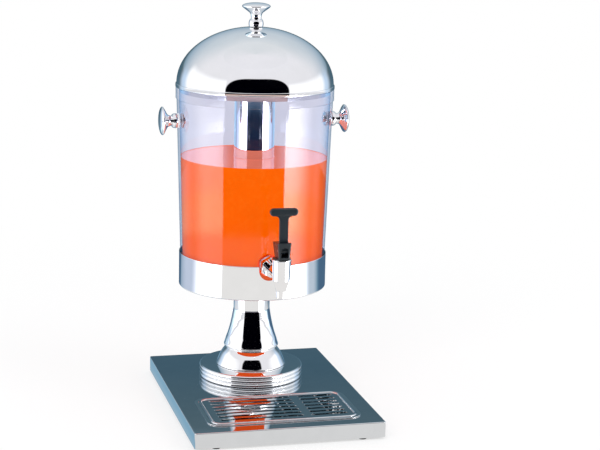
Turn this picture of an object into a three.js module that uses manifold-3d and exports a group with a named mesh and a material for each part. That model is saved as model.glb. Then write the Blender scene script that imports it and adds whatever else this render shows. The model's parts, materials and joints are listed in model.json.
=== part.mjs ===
// Juice dispenser: a clear tank on a polished stand, with a dome lid, an ice tube and a self-closing tap.
// Millimetres, +Z up. The origin is on the floor under the middle of the base, and the tap faces -Y.
import * as THREE from 'three';
import { mergeVertices } from 'three/addons/utils/BufferGeometryUtils.js';
import Module from 'manifold-3d';

const wasm = await Module();
wasm.setup();
const { mapLinear } = THREE.MathUtils;

// Clearances and the one overrun of every cut
const gap = 0.3; // between fixed pieces that touch
const play = 0.5; // round pieces that lift out or turn
const overrun = 2;

// Stand
const foot = { radius: 6, height: 3, chamfer: 0.75, insetX: 30, insetY: 9, recess: 3.8, recessDepth: 1.8 };
const footScrew = { shank: 1.5, head: 3, headHeight: 1.2, reach: 3.4 };
const base = { width: 260, length: 360, height: 21, sheet: 1.2, corner: 2.5, edge: 1.2 };
const board = { thickness: 3 };
const spacer = { radius: 12 };
const ring = { radius: 74.8, height: 17.1, ribs: 3, ribDepth: 2.6, wall: 1.5 };
const column = { height: 117.8, foot: 50.5, neck: 26, wall: 1.5 };
const plug = { thickness: 5 };
const rod = { radius: 4, head: 9, headHeight: 1.5, tail: 1.2 };
const rodNut = { flats: 13, height: 5, washer: 10, washerHeight: 1.5 };

// Drip tray, let into the base in front of the column
const tray = { width: 212, length: 121, corner: 20, fromFront: 82.5, depth: 14.8 };
const trayEdge = { flange: 4, ledge: 3.7, sheet: 0.8, cutoutCorner: 11 };
const grille = { sheet: 0.8, bead: 4, beadRise: 1.3, left: 19, right: 17, front: 23.4, back: 18.4 };
const slot = { width: 6.4, rows: 7, bridge: 11, rightBankShare: 0.2825 };

// Tank and what is in it
const collar = { radius: 105.3, height: 48.5, wall: 1.2, floor: 1.5, edge: 2, notch: 14.2, notchDepth: 19.6 };
const tank = { wall: 3.7, topRadius: 110.2, bodyRise: 218.6, floor: 4, skirt: 15 };
const tankBand = { radius: 111.6, height: 16.5, edge: 1.2 };
const tankPlay = 0.4;
const pad = { width: 7, thickness: 3 };
const iceTube = { radius: 28.5, wall: 0.8, height: 248, lip: 1.2 };
const iceStud = { radius: 4, reach: 14, seal: 12, sealHeight: 2, nutFlats: 13, nutHeight: 4 };

// Lid
const lid = { radius: 112, rimHeight: 5.2, bead: 0.8, step: 1.3, rise: 79.6, wall: 1, spigotDepth: 6.5 };
const lidInset = 0.5; // in front of the base's back edge
const lidKnob = { length: 33.4, foot: 10.4, ball: 13.2, neck: 7.4, rim: 20, rimAt: 28.4 };

// Carrying knobs on the tank's sides
const carry = { belowTop: 45.6, length: 25.3, foot: 10.4, ball: 7.2, neck: 7.4, rim: 19.9, rimAt: 20.4 };
const fixing = { shank: 2.5, thread: 13, washer: 10, washerHeight: 1.2, seal: 1.5 };
const screwHead = { radius: 5, height: 2.5, chamfer: 0.8 };

// Tap: heights are counted up and down from the shank's axis, which is a little above the collar
const tap = { aboveCollar: 1.2, reach: 69.8, shank: 7.5, bore: 4, shankInside: 16.5 };
const barrel = { radius: 12.8, rise: 25.9, drop: 4, chamfer: 0.5, lip: 0.8, lipHeight: 2.2, taperDrop: 18.5 };
const nozzle = { radius: 6.7, bore: 4.9, drop: 27 };
const chamber = { radius: 9.8, drop: 4.5, seatDrop: 10.5 };
const tapNut = { flats: 25, thickness: 10.3, innerFlats: 24, innerThickness: 6, seal: 12.4 };
const bonnet = { flange: 12.6, flangeHeight: 1.2, plugDepth: 6.4, height: 23.4, backDrop: 4, roof: 4 };
const bonnetCornerShare = 0.25;
const bonnetLow = { width: 15, front: 16, back: 11 };
const bonnetTop = { width: 18.6, front: 18, back: 16 };
const pocket = { lowHalf: 6.3, topHalf: 6.9, lowFront: 14.2, topFront: 16, back: 5.5, floor: 3 };
const bonnetWindow = { width: 9.6, sill: 3.2, height: 14 };
const lever = { width: 11.2, footWidth: 12, thickness: 5, boss: 4.2, fillet: 7, rise: 57.5 };
const leverBar = { length: 38.5, height: 10.5, depth: 8.5, edge: 2.1 };
const leverPin = { radius: 1.5, above: 39, forward: 8, inset: 0.3 };
const fork = { thickness: 3.2, slotHalf: 1.95, outerHalf: 4.6 };
const valve = { stem: 1.6, head: 3.6, headHeight: 2, cup: 9, cupRise: 0.5, cupTop: 3.5, socketDepth: 7 };
const spring = { coil: 6.4, wire: 1.2, turns: 5 };

// Heights of the stack, from the floor up
const baseTop = foot.height + base.height;
const boardLow = foot.height + gap;
const boardTop = boardLow + board.thickness;
const ringLow = baseTop + gap;
const ringTop = ringLow + ring.height;
const columnLow = ringTop + gap;
const columnTop = columnLow + column.height;
const collarLow = columnTop + gap;
const collarFloor = collarLow + collar.floor;
const collarTop = collarLow + collar.height;
const padLow = collarFloor + gap;
const tankLow = padLow + pad.thickness + gap;
const tankFloorLow = tankLow + tank.skirt;
const tankFloor = tankFloorLow + tank.floor;
const bandLow = collarTop + tank.bodyRise;
const tankTop = bandLow + tankBand.height;
const lidLow = tankTop + gap;
const domeLow = lidLow + lid.rimHeight;
const apex = domeLow + lid.rise;

// Places in plan
const axisY = base.length / 2 - lid.radius - lidInset;
const trayY = tray.fromFront - base.length / 2;
const tankLowRadius = collar.radius - collar.wall - tankPlay;
const carryZ = tankTop - carry.belowTop;
const shankZ = collarTop + tap.aboveCollar;
const tapY = axisY - tankRadius(shankZ) - tap.reach;
const pinZ = shankZ + leverPin.above;
const cupLow = shankZ - chamber.seatDrop + valve.cupRise;
const cupHigh = shankZ + valve.cupTop;

// Numbers of facets round the large, middle and small turned pieces
const sides = { large: 40, middle: 28, small: 14, tiny: 8 };

function material(color, roughness, metalness, opacity) {
  const alpha = opacity ?? 1;
  const transparent = alpha < 1;
  return new THREE.MeshStandardMaterial({ color, roughness, metalness, opacity: alpha, transparent });
}

const mirrorSteel = material(0x8fa3ad, 0.05, 1);
const polishedSteel = material(0xdfe3e8, 0.08, 1);
const chrome = material(0xf0f2f5, 0.04, 1);
const plainSteel = material(0xb5b8bb, 0.35, 1);
const clearPlastic = material(0xdcdff2, 0.05, 0, 0.35);
const blackPlastic = material(0x1d2226, 0.35, 0);
const greyBoard = material(0x6d7073, 0.7, 0);
const blackRubber = material(0x17181a, 0.8, 0);
const silicone = material(0xd9dadb, 0.6, 0);

// The outer radius of the tank's wall at height z
function tankRadius(z) {
  const share = Math.max(0, (z - collarTop) / tank.bodyRise);
  return tankLowRadius + (tank.topRadius - tankLowRadius) * share;
}

// A solid from a three.js geometry: shared points merged, empty triangles dropped, faces turned outwards
function solid(geometry) {
  geometry.deleteAttribute('normal');
  geometry.deleteAttribute('uv');
  const merged = mergeVertices(geometry);
  const points = merged.attributes.position;
  const index = merged.index.array;
  const corner = [new THREE.Vector3(), new THREE.Vector3(), new THREE.Vector3()];
  const triangles = [];
  let volume = 0;
  for (let i = 0; i < index.length; i += 3) {
    const [a, b, c] = [index[i], index[i + 1], index[i + 2]];
    if (a === b || b === c || c === a) continue;
    [a, b, c].forEach((k, n) => corner[n].fromBufferAttribute(points, k));
    volume += corner[0].dot(corner[1].cross(corner[2]));
    triangles.push([a, b, c]);
  }
  const order = volume < 0 ? triangles.map(([a, b, c]) => [a, c, b]) : triangles;
  const vertProperties = new Float32Array(points.array);
  const triVerts = new Uint32Array(order.flat());
  return new wasm.Manifold(new wasm.Mesh({ numProp: 3, vertProperties, triVerts }));
}

function cut(body, ...tools) {
  return tools.reduce((rest, tool) => rest.subtract(tool), body);
}

function join(...bodies) {
  return bodies.reduce((whole, body) => whole.add(body));
}

// A turned solid about the Z axis through x, y. The outline is [radius, height] pairs.
function turned(outline, around = sides.middle, x = 0, y = 0) {
  const points = outline.map(([radius, z]) => new THREE.Vector2(radius, z));
  const first = points[0];
  const last = points[points.length - 1];
  if (first.x > 0 || last.x > 0) points.push(first.clone());
  const geometry = new THREE.LatheGeometry(points, around);
  geometry.rotateX(Math.PI / 2);
  geometry.translate(x, y, 0);
  return solid(geometry);
}

function disc(radius, low, high, around = sides.small, x = 0, y = 0) {
  return turned([[0, low], [radius, low], [radius, high], [0, high]], around, x, y);
}

function washer(radius, bore, low, high, around = sides.small, x = 0, y = 0) {
  return turned([[bore, low], [radius, low], [radius, high], [bore, high]], around, x, y);
}

// A round bar along one of the axes, from one place to another
function bar(radius, from, to, around, axis) {
  const geometry = new THREE.CylinderGeometry(radius, radius, to - from, around);
  const middle = (from + to) / 2;
  if (axis === 'x') geometry.rotateZ(-Math.PI / 2).translate(middle, 0, 0);
  if (axis === 'y') geometry.translate(0, middle, 0);
  if (axis === 'z') geometry.rotateX(Math.PI / 2).translate(0, 0, middle);
  return geometry;
}

// A six-sided nut with its bore, along an axis from one place to another
function nut(flats, bore, from, to, axis, x = 0, y = 0, z = 0) {
  const corners = flats / 2 / Math.cos(Math.PI / 6);
  const body = solid(bar(corners, from, to, 6, axis).translate(x, y, z));
  const hole = solid(bar(bore, from - overrun, to + overrun, sides.small, axis).translate(x, y, z));
  return body.subtract(hole);
}

function roundedRectangle(halfX, halfY, corner, x = 0, y = 0) {
  const shape = new THREE.Shape();
  shape.absarc(x + halfX - corner, y + halfY - corner, corner, 0, Math.PI / 2);
  shape.absarc(x - halfX + corner, y + halfY - corner, corner, Math.PI / 2, Math.PI);
  shape.absarc(x - halfX + corner, y - halfY + corner, corner, Math.PI, Math.PI * 1.5);
  shape.absarc(x + halfX - corner, y - halfY + corner, corner, Math.PI * 1.5, Math.PI * 2);
  shape.closePath();
  return shape;
}

function plate(shape, low, high, curveSegments = 2) {
  const depth = high - low;
  const geometry = new THREE.ExtrudeGeometry(shape, { depth, bevelEnabled: false, curveSegments });
  return solid(geometry.translate(0, 0, low));
}

// A plate whose upper and lower edges are rounded off
function softPlate(shape, low, high, edge, curveSegments = 2, bevelSegments = 1) {
  const geometry = new THREE.ExtrudeGeometry(shape, {
    depth: high - low - 2 * edge,
    bevelThickness: edge,
    bevelSize: edge,
    bevelOffset: -edge,
    bevelSegments,
    curveSegments,
  });
  return solid(geometry.translate(0, 0, low + edge));
}

// A solid through level sections, each a list of as many points
function lofted(sections) {
  const count = sections[0].length;
  const points = sections.flat();
  const faces = [];
  for (let level = 0; level + 1 < sections.length; level += 1) {
    for (let i = 0; i < count; i += 1) {
      const next = (i + 1) % count;
      const low = level * count;
      const high = low + count;
      faces.push(low + i, low + next, high + next, low + i, high + next, high + i);
    }
  }
  const top = (sections.length - 1) * count;
  for (let i = 1; i + 1 < count; i += 1) {
    faces.push(0, i + 1, i, top, top + i, top + i + 1);
  }
  const geometry = new THREE.BufferGeometry();
  geometry.setAttribute('position', new THREE.Float32BufferAttribute(points.flat(), 3));
  geometry.setIndex(faces);
  return solid(geometry);
}

const parts = new THREE.Group();

function add(name, surface, body) {
  const { vertProperties, triVerts } = body.getMesh();
  const geometry = new THREE.BufferGeometry();
  geometry.setAttribute('position', new THREE.BufferAttribute(vertProperties, 3));
  geometry.setIndex(new THREE.BufferAttribute(triVerts, 1));
  geometry.computeVertexNormals();
  const mesh = new THREE.Mesh(geometry, surface);
  mesh.name = name;
  parts.add(mesh);
}

// The tray's outline in plan, drawn in by an inset
function trayOutline(inset, corner = tray.corner - inset) {
  return roundedRectangle(tray.width / 2 - inset, tray.length / 2 - inset, corner, 0, trayY);
}

function footPlaces() {
  const x = base.width / 2 - foot.insetX;
  const y = base.length / 2 - foot.insetY;
  return { front_left: [-x, -y], front_right: [x, -y], back_left: [-x, y], back_right: [x, y] };
}

// Base: a folded cover, a bottom board, four feet with their screws
function makeBase() {
  const half = [base.width / 2, base.length / 2];
  const skirt = foot.height - base.edge;
  const outer = softPlate(roundedRectangle(...half, base.corner), skirt, baseTop, base.edge);
  const inside = half.map((value) => value - base.sheet);
  const innerCorner = base.corner - base.sheet;
  const hollow = plate(roundedRectangle(...inside, innerCorner), skirt - overrun, baseTop - base.sheet);
  const below = plate(roundedRectangle(base.width, base.length, base.corner), skirt - overrun, foot.height);
  const cutout = trayOutline(trayEdge.flange - play, trayEdge.cutoutCorner);
  const opening = plate(cutout, foot.height, baseTop + overrun);
  const rodHole = disc(rod.radius + gap, foot.height, baseTop + overrun, sides.small, 0, axisY);
  add('base_cover', mirrorSteel, cut(outer, hollow, below, opening, rodHole));

  const boardHalf = inside.map((value) => value - gap);
  let panel = plate(roundedRectangle(...boardHalf, innerCorner), boardLow, boardTop);
  panel = cut(panel, disc(rod.radius + gap, boardLow - overrun, boardTop + overrun, sides.small, 0, axisY));
  for (const [corner, [x, y]] of Object.entries(footPlaces())) {
    const hole = footScrew.shank + gap;
    panel = cut(panel, disc(hole, boardLow - overrun, boardTop + overrun, sides.tiny, x, y));
    const rubber = turned([
      [hole, foot.recessDepth], [foot.recess, foot.recessDepth], [foot.recess, 0],
      [foot.radius - foot.chamfer, 0], [foot.radius, foot.chamfer], [foot.radius, foot.height],
      [hole, foot.height],
    ], sides.small, x, y);
    add(`foot_${corner}`, blackRubber, rubber);
    const headTop = foot.recessDepth - gap;
    const headLow = headTop - footScrew.headHeight;
    add(`foot_screw_${corner}`, plainSteel, turned([
      [0, headLow], [footScrew.head, headLow], [footScrew.head, headTop], [footScrew.shank, headTop],
      [footScrew.shank, headTop + footScrew.reach], [0, headTop + footScrew.reach],
    ], sides.tiny, x, y));
  }
  add('base_board', greyBoard, panel);
  add('base_spacer', plainSteel, washer(spacer.radius, rod.radius + gap, boardTop + gap,
    baseTop - base.sheet - gap, sides.small, 0, axisY));
}

// Ribbed ring: the ribs are half-round, and the shell is open below
function makeRing() {
  const steps = 4;
  const outline = [];
  const pitch = ring.height / ring.ribs;
  for (let rib = 0; rib < ring.ribs; rib += 1) {
    for (let step = 0; step < steps; step += 1) {
      const angle = Math.PI * step / steps;
      const radius = ring.radius - ring.ribDepth * (1 - Math.sin(angle));
      outline.push([radius, ringLow + pitch * (rib + (1 - Math.cos(angle)) / 2)]);
    }
  }
  const innerRadius = ring.radius - ring.ribDepth - ring.wall;
  const hole = rod.radius + gap;
  outline.push(
    [ring.radius - ring.ribDepth, ringTop], [hole, ringTop], [hole, ringTop - ring.wall],
    [innerRadius, ringTop - ring.wall], [innerRadius, ringLow],
  );
  add('ring_base', polishedSteel, turned(outline, sides.large, 0, axisY));
}

// Column: height shares run from the ring to the collar, radius shares from the neck to the foot
const columnOutlineShares = [
  [0, 0.97], [0.008, 1], [0.022, 0.985], [0.07, 0.72], [0.136, 0.5], [0.146, 0.455], [0.156, 0.5],
  [0.2, 0.542], [0.265, 0.515], [0.325, 0.425], [0.375, 0.34], [0.43, 0.262],
  [0.53, 0.15], [0.63, 0.08], [0.735, 0.025], [1, 0],
];
const columnInsideShares = [
  [1, 0], [0.735, 0.025], [0.53, 0.15], [0.325, 0.42], [0.225, 0.52], [0.146, 0.44], [0, 0.95],
];

function makeColumn() {
  const radius = (share) => column.neck + (column.foot - column.neck) * share;
  const height = (share) => columnLow + column.height * share;
  const outer = columnOutlineShares.map(([z, r]) => [radius(r), height(z)]);
  const inner = columnInsideShares.map(([z, r]) => [radius(r) - column.wall, height(z)]);
  add('column', polishedSteel, turned([...outer, ...inner], sides.middle, 0, axisY));
  add('column_plug', plainSteel, washer(column.neck - column.wall - gap, rod.radius + gap,
    columnTop - plug.thickness, columnTop, sides.small, 0, axisY));
}

// Tie rod: a bolt with a thin head under the board, and its washer and nut on the collar's floor
function makeRod() {
  const headTop = boardLow - gap;
  const headLow = headTop - rod.headHeight;
  const washerLow = collarFloor + gap;
  const nutLow = washerLow + rodNut.washerHeight + gap;
  const end = nutLow + rodNut.height + rod.tail;
  add('tie_rod', plainSteel, turned([
    [0, headLow], [rod.head, headLow], [rod.head, headTop], [rod.radius, headTop],
    [rod.radius, end], [0, end],
  ], sides.small, 0, axisY));
  const bore = rod.radius + gap;
  add('tie_rod_washer', plainSteel, washer(rodNut.washer, bore, washerLow,
    washerLow + rodNut.washerHeight, sides.small, 0, axisY));
  add('tie_rod_nut', plainSteel, nut(rodNut.flats, bore, nutLow, nutLow + rodNut.height, 'z', 0, axisY));
}

// Collar: a drum with a floor, and a U notch in front for the tap's shank
function makeCollar() {
  const inside = collar.radius - collar.wall;
  const hole = rod.radius + gap;
  const edge = collar.edge * (1 - Math.SQRT1_2);
  const drum = turned([
    [hole, collarLow], [collar.radius - collar.edge, collarLow], [collar.radius - edge, collarLow + edge],
    [collar.radius, collarLow + collar.edge], [collar.radius, collarTop], [inside, collarTop],
    [inside, collarFloor], [hole, collarFloor],
  ], sides.large, 0, axisY);
  const notchZ = collarTop - collar.notchDepth + collar.notch;
  const outline = new THREE.Shape();
  outline.absarc(0, notchZ, collar.notch, Math.PI, Math.PI * 2);
  outline.lineTo(collar.notch, collarTop + overrun);
  outline.lineTo(-collar.notch, collarTop + overrun);
  outline.closePath();
  const depth = collar.radius;
  const tool = new THREE.ExtrudeGeometry(outline, { depth, bevelEnabled: false, curveSegments: 6 });
  tool.rotateX(Math.PI / 2).translate(0, axisY - collar.radius / 2, 0);
  add('collar', polishedSteel, cut(drum, solid(tool)));
  add('tank_pad', blackRubber, washer(tankLowRadius, tankLowRadius - pad.width, padLow,
    padLow + pad.thickness, sides.large, 0, axisY));
}

// Tank: a tapered wall with a raised floor, a skirt below it and a thicker band at the rim
function makeTank() {
  const inside = (z) => tankRadius(z) - tank.wall;
  const hole = iceStud.radius + gap;
  const body = turned([
    [hole, tankFloorLow], [inside(tankLow), tankFloorLow], [inside(tankLow), tankLow],
    [tankLowRadius, tankLow], [tankLowRadius, collarTop], [tank.topRadius, bandLow],
    [tankBand.radius, bandLow + tankBand.edge], [tankBand.radius, tankTop - tankBand.edge / 2],
    [tankBand.radius - tankBand.edge / 2, tankTop],
    [inside(bandLow), tankTop], [inside(bandLow), bandLow], [inside(tankFloor), tankFloor + tank.wall],
    [inside(tankFloor) - tank.wall, tankFloor], [hole, tankFloor],
  ], sides.large, 0, axisY);
  const across = 2 * tankBand.radius;
  const knobBar = bar(fixing.shank + gap, -across, across, sides.tiny, 'x');
  const knobHole = solid(knobBar.translate(0, axisY, carryZ));
  const shankBar = bar(tap.shank + gap, -across, 0, sides.small, 'y');
  const shankHole = solid(shankBar.translate(0, axisY, shankZ));
  add('tank', clearPlastic, cut(body, knobHole, shankHole));
}

function makeIceTube() {
  const sealLow = tankFloor + gap;
  const low = sealLow + iceStud.sealHeight + gap;
  const top = low + iceTube.height;
  const stud = low - iceStud.reach;
  const inner = iceTube.radius - iceTube.wall;
  add('ice_tube', polishedSteel, turned([
    [0, stud], [iceStud.radius, stud], [iceStud.radius, low], [iceTube.radius - iceTube.lip, low],
    [iceTube.radius, low + iceTube.lip], [iceTube.radius, top - iceTube.lip],
    [iceTube.radius + iceTube.lip, top - iceTube.lip / 2], [iceTube.radius, top], [inner, top],
    [inner, low + iceTube.wall], [0, low + iceTube.wall],
  ], sides.middle, 0, axisY));
  add('ice_tube_seal', silicone, washer(iceStud.seal, iceStud.radius + gap, sealLow,
    sealLow + iceStud.sealHeight, sides.small, 0, axisY));
  const nutTop = tankFloorLow - gap;
  add('ice_tube_nut', plainSteel, nut(iceStud.nutFlats, iceStud.radius + gap, nutTop - iceStud.nutHeight,
    nutTop, 'z', 0, axisY));
}

// The flare of a turned knob: height shares from ball to rim, and radius shares from neck to rim
const flareShares = [
  [0, 0], [0.2, 0.02], [0.36, 0.08], [0.5, 0.19], [0.64, 0.42],
  [0.76, 0.68], [0.85, 0.88], [0.93, 0.98], [1, 1],
];
const ballSteps = 6;
const ballLowShare = 0.115;
const faceSteps = 3;

// The outline of a turned knob from the foot up: a ball, a trumpet flare and a bulging face
function knobOutline(knob, low, boreDepth) {
  const bore = fixing.shank + gap;
  const outline = [[0, low + boreDepth], [bore, low + boreDepth], [bore, low]];
  for (let step = 0; step < ballSteps; step += 1) {
    const share = step / ballSteps;
    const bulge = Math.sin(Math.PI * (ballLowShare + (1 - ballLowShare) * share));
    outline.push([knob.neck + (knob.foot - knob.neck) * bulge, low + knob.ball * share]);
  }
  for (const [rise, spread] of flareShares) {
    const radius = knob.neck + (knob.rim - knob.neck) * spread;
    outline.push([radius, low + knob.ball + (knob.rimAt - knob.ball) * rise]);
  }
  for (let step = 1; step < faceSteps; step += 1) {
    const angle = Math.PI / 2 * step / faceSteps;
    const rise = (knob.length - knob.rimAt) * Math.sin(angle);
    outline.push([knob.rim * Math.cos(angle), low + knob.rimAt + rise]);
  }
  outline.push([0, low + knob.length]);
  return outline;
}

function screwOutline(headLow, end) {
  const seat = headLow + screwHead.height;
  const face = screwHead.radius - screwHead.chamfer;
  return [
    [0, headLow], [face, headLow], [screwHead.radius, headLow + screwHead.chamfer],
    [screwHead.radius, seat], [fixing.shank, seat], [fixing.shank, end], [0, end],
  ];
}

// The wall of the tank as a solid cone, grown or shrunk by an offset, to shape the seals that lie on it
function wallCone(offset) {
  const low = collarTop - tank.skirt;
  return turned([
    [0, low], [tankLowRadius + offset, low], [tankLowRadius + offset, collarTop],
    [tank.topRadius + offset, bandLow], [0, bandLow],
  ], sides.large, 0, axisY);
}

// One carrying knob: side is 1 on the right and -1 on the left
function makeCarryKnob(name, side) {
  const wall = tankRadius(carryZ);
  const place = (geometry) => geometry.rotateY(side * Math.PI / 2).translate(0, axisY, carryZ);
  const lay = (outline, around = sides.small) => {
    const points = outline.map(([radius, z]) => new THREE.Vector2(radius, z));
    if (points[0].x > 0) points.push(points[0].clone());
    return solid(place(new THREE.LatheGeometry(points, around).rotateX(Math.PI / 2)));
  };
  const tube = (radius, from, to) => lay([
    [fixing.shank + gap, from], [radius, from], [radius, to], [fixing.shank + gap, to],
  ]);
  const outerFace = wall + gap + fixing.seal;
  const knobLow = outerFace + gap;
  const innerWall = wall - tank.wall - gap;
  const innerFace = innerWall - fixing.seal;
  const washerLow = innerFace - gap - fixing.washerHeight;
  const headLow = washerLow - gap - screwHead.height;
  add(`carry_knob_${name}`, chrome, lay(knobOutline(carry, knobLow, fixing.thread)));
  const outerSeal = tube(carry.foot, wall - fixing.seal, outerFace).subtract(wallCone(gap));
  add(`carry_seal_${name}`, silicone, outerSeal);
  const innerSeal = tube(fixing.washer, innerFace, wall).intersect(wallCone(-tank.wall - gap));
  add(`carry_inner_seal_${name}`, silicone, innerSeal);
  add(`carry_washer_${name}`, plainSteel, tube(fixing.washer, washerLow, washerLow + fixing.washerHeight));
  const screwEnd = knobLow + fixing.thread - play;
  add(`carry_screw_${name}`, plainSteel, lay(screwOutline(headLow, screwEnd), sides.tiny));
}

// Lid: an elliptic dome with a beaded rim, and a spigot that drops into the tank's mouth
function makeLid() {
  const spigot = tank.topRadius - tank.wall - play;
  const spigotLow = lidLow - gap - lid.spigotDepth;
  const steps = 7;
  const domeRadius = lid.radius - lid.step;
  const outline = [
    [lid.radius - lid.bead, lidLow], [lid.radius, lidLow + lid.bead], [lid.radius, domeLow - lid.bead],
    [lid.radius - lid.bead, domeLow],
  ];
  const dome = (wall, angle) => [
    (domeRadius - wall) * Math.cos(angle), domeLow + (lid.rise - wall) * Math.sin(angle),
  ];
  const hole = fixing.shank + gap;
  const last = Math.acos(hole / domeRadius);
  for (let step = 0; step <= steps; step += 1) outline.push(dome(0, last * step / steps));
  const innerSteps = steps - 1;
  for (let step = innerSteps; step >= 0; step -= 1) {
    const [radius, z] = dome(lid.wall, last * step / innerSteps);
    outline.push([Math.max(radius, hole), z]);
  }
  outline.push(
    [domeRadius - lid.wall, lidLow + lid.wall], [spigot - lid.wall, lidLow + lid.wall],
    [spigot - lid.wall, spigotLow], [spigot, spigotLow], [spigot, lidLow],
  );
  add('lid_dome', polishedSteel, turned(outline, sides.large, 0, axisY));
  const knobLow = apex + gap;
  add('lid_knob', chrome, turned(knobOutline(lidKnob, knobLow, fixing.thread), sides.small, 0, axisY));
  const [edgeRadius, edgeZ] = dome(lid.wall, last * (innerSteps - 1) / innerSteps);
  const [topRadius, topZ] = dome(lid.wall, last);
  const washerTop = mapLinear(fixing.washer, topRadius, edgeRadius, topZ, edgeZ) - gap;
  const washerLow = washerTop - fixing.washerHeight;
  const ringShape = washer(fixing.washer, hole, washerLow, washerTop, sides.small, 0, axisY);
  add('lid_knob_washer', plainSteel, ringShape);
  const headLow = washerLow - gap - screwHead.height;
  const screwEnd = knobLow + fixing.thread - play;
  add('lid_knob_screw', plainSteel, turned(screwOutline(headLow, screwEnd), sides.tiny, 0, axisY));
}

// Tap body: barrel, tapered nozzle and shank in one piece, with the chamber, the seat and the bores
function makeTapBody() {
  const top = shankZ + barrel.rise;
  const rim = barrel.radius + barrel.lip;
  const lipLow = top - barrel.lipHeight;
  const mouth = shankZ - nozzle.drop;
  const outside = turned([
    [0, mouth], [nozzle.radius, mouth], [nozzle.radius, shankZ - barrel.taperDrop],
    [barrel.radius - barrel.chamfer, shankZ - barrel.drop - barrel.lip],
    [barrel.radius, shankZ - barrel.drop + barrel.lip], [barrel.radius, lipLow],
    [rim, lipLow + barrel.lip / 2], [rim, top - barrel.lip / 2], [rim - barrel.lip / 2, top], [0, top],
  ], sides.middle, 0, tapY);
  const inside = turned([
    [0, mouth - overrun], [nozzle.bore, mouth - overrun], [nozzle.bore, shankZ - chamber.seatDrop],
    [chamber.radius, shankZ - chamber.drop], [chamber.radius, top + overrun], [0, top + overrun],
  ], sides.small, 0, tapY);
  const end = tap.reach + tap.shankInside;
  const shank = solid(bar(tap.shank, 0, end, sides.small, 'y').translate(0, tapY, shankZ));
  const bore = solid(bar(tap.bore, 0, end + overrun, sides.small, 'y').translate(0, tapY, shankZ));
  add('tap_body', chrome, cut(join(outside, shank), inside, bore));
}

// The shank's nuts and shaped seals on both sides of the tank's wall
function makeTapFixing() {
  const wallY = axisY - tankRadius(shankZ);
  const hole = tap.shank + gap;
  const tube = (radius, from, to) => {
    const body = solid(bar(radius, from, to, sides.small, 'y').translate(0, 0, shankZ));
    const inside = solid(bar(hole, from - overrun, to + overrun, sides.small, 'y').translate(0, 0, shankZ));
    return body.subtract(inside);
  };
  const outerFace = axisY - collar.radius - gap;
  const nutBack = outerFace - gap;
  const nutFront = nutBack - tapNut.thickness;
  add('tap_hex_nut', chrome, nut(tapNut.flats, hole, nutFront, nutBack, 'y', 0, 0, shankZ));
  add('tap_seal_outer', silicone, tube(tapNut.seal, outerFace, wallY + tank.wall).subtract(wallCone(gap)));
  const innerWall = wallY + tank.wall + gap;
  const innerFace = innerWall + fixing.seal;
  add('tap_seal_inner', silicone, tube(tapNut.seal, wallY, innerFace).intersect(wallCone(-tank.wall - gap)));
  const innerFront = innerFace + gap;
  const innerBack = innerFront + tapNut.innerThickness;
  add('tap_inner_nut', plainSteel, nut(tapNut.innerFlats, hole, innerFront, innerBack, 'y', 0, 0, shankZ));
}

// A level rectangle of the bonnet with cut corners, from its half width, front and back
function bonnetSection(half, front, back, z, zBack) {
  const corner = half * bonnetCornerShare;
  const frontY = tapY - front;
  const backY = tapY + back;
  return [
    [half - corner, frontY, z], [half, frontY + corner, z], [half, backY - corner, zBack],
    [half - corner, backY, zBack], [-half + corner, backY, zBack], [-half, backY - corner, zBack],
    [-half, frontY + corner, z], [-half + corner, frontY, z],
  ];
}

// Bonnet: a flared cap with a threaded plug, a pocket for the lever, a slot in its roof and an arched window
function makeBonnet() {
  const barrelTop = shankZ + barrel.rise;
  const plugLow = barrelTop - bonnet.plugDepth;
  const low = barrelTop + gap + bonnet.flangeHeight;
  const top = low + bonnet.height;
  const cap = lofted([
    bonnetSection(bonnetLow.width / 2, bonnetLow.front, bonnetLow.back, low, low),
    bonnetSection(bonnetTop.width / 2, bonnetTop.front, bonnetTop.back, top, top - bonnet.backDrop),
  ]);
  const under = turned([
    [0, plugLow], [chamber.radius - gap, plugLow], [chamber.radius - gap, barrelTop + gap],
    [bonnet.flange, barrelTop + gap], [bonnet.flange, low], [0, low + bonnet.backDrop],
  ], sides.small, 0, tapY);
  const pocketLow = low + pocket.floor;
  const pocketTop = top - bonnet.roof;
  const hollow = lofted([
    bonnetSection(pocket.lowHalf, pocket.lowFront, pocket.back, pocketLow, pocketLow),
    bonnetSection(pocket.topHalf, pocket.topFront, pocket.back, pocketTop, pocketTop),
  ]);
  const slotHalf = lever.footWidth / 2 + play;
  const slotFront = tapY - pocket.topFront;
  const slotBack = tapY - leverPin.forward + lever.thickness / 2 + play;
  const roofSlot = new THREE.BoxGeometry(2 * slotHalf, slotBack - slotFront, 2 * bonnet.roof + overrun);
  roofSlot.translate(0, (slotFront + slotBack) / 2, top);
  const stemHole = disc(valve.stem + play, plugLow - overrun, pocketLow + overrun, sides.tiny, 0, tapY);
  const pinHole = solid(bar(leverPin.radius + gap, -bonnetTop.width, bonnetTop.width, sides.tiny, 'x')
    .translate(0, tapY - leverPin.forward, pinZ));
  const half = bonnetWindow.width / 2;
  const sill = low + bonnetWindow.sill;
  const arch = new THREE.Shape();
  arch.moveTo(-half, sill);
  arch.lineTo(half, sill);
  arch.absarc(0, sill + bonnetWindow.height - half, half, 0, Math.PI);
  arch.closePath();
  const depth = bonnetTop.front;
  const opening = new THREE.ExtrudeGeometry(arch, { depth, bevelEnabled: false, curveSegments: 4 });
  opening.rotateX(Math.PI / 2).translate(0, tapY - leverPin.forward, 0);
  const tools = [hollow, solid(roofSlot), stemHole, pinHole, solid(opening)];
  add('tap_bonnet', blackPlastic, cut(join(cap, under), ...tools));
}

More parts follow.
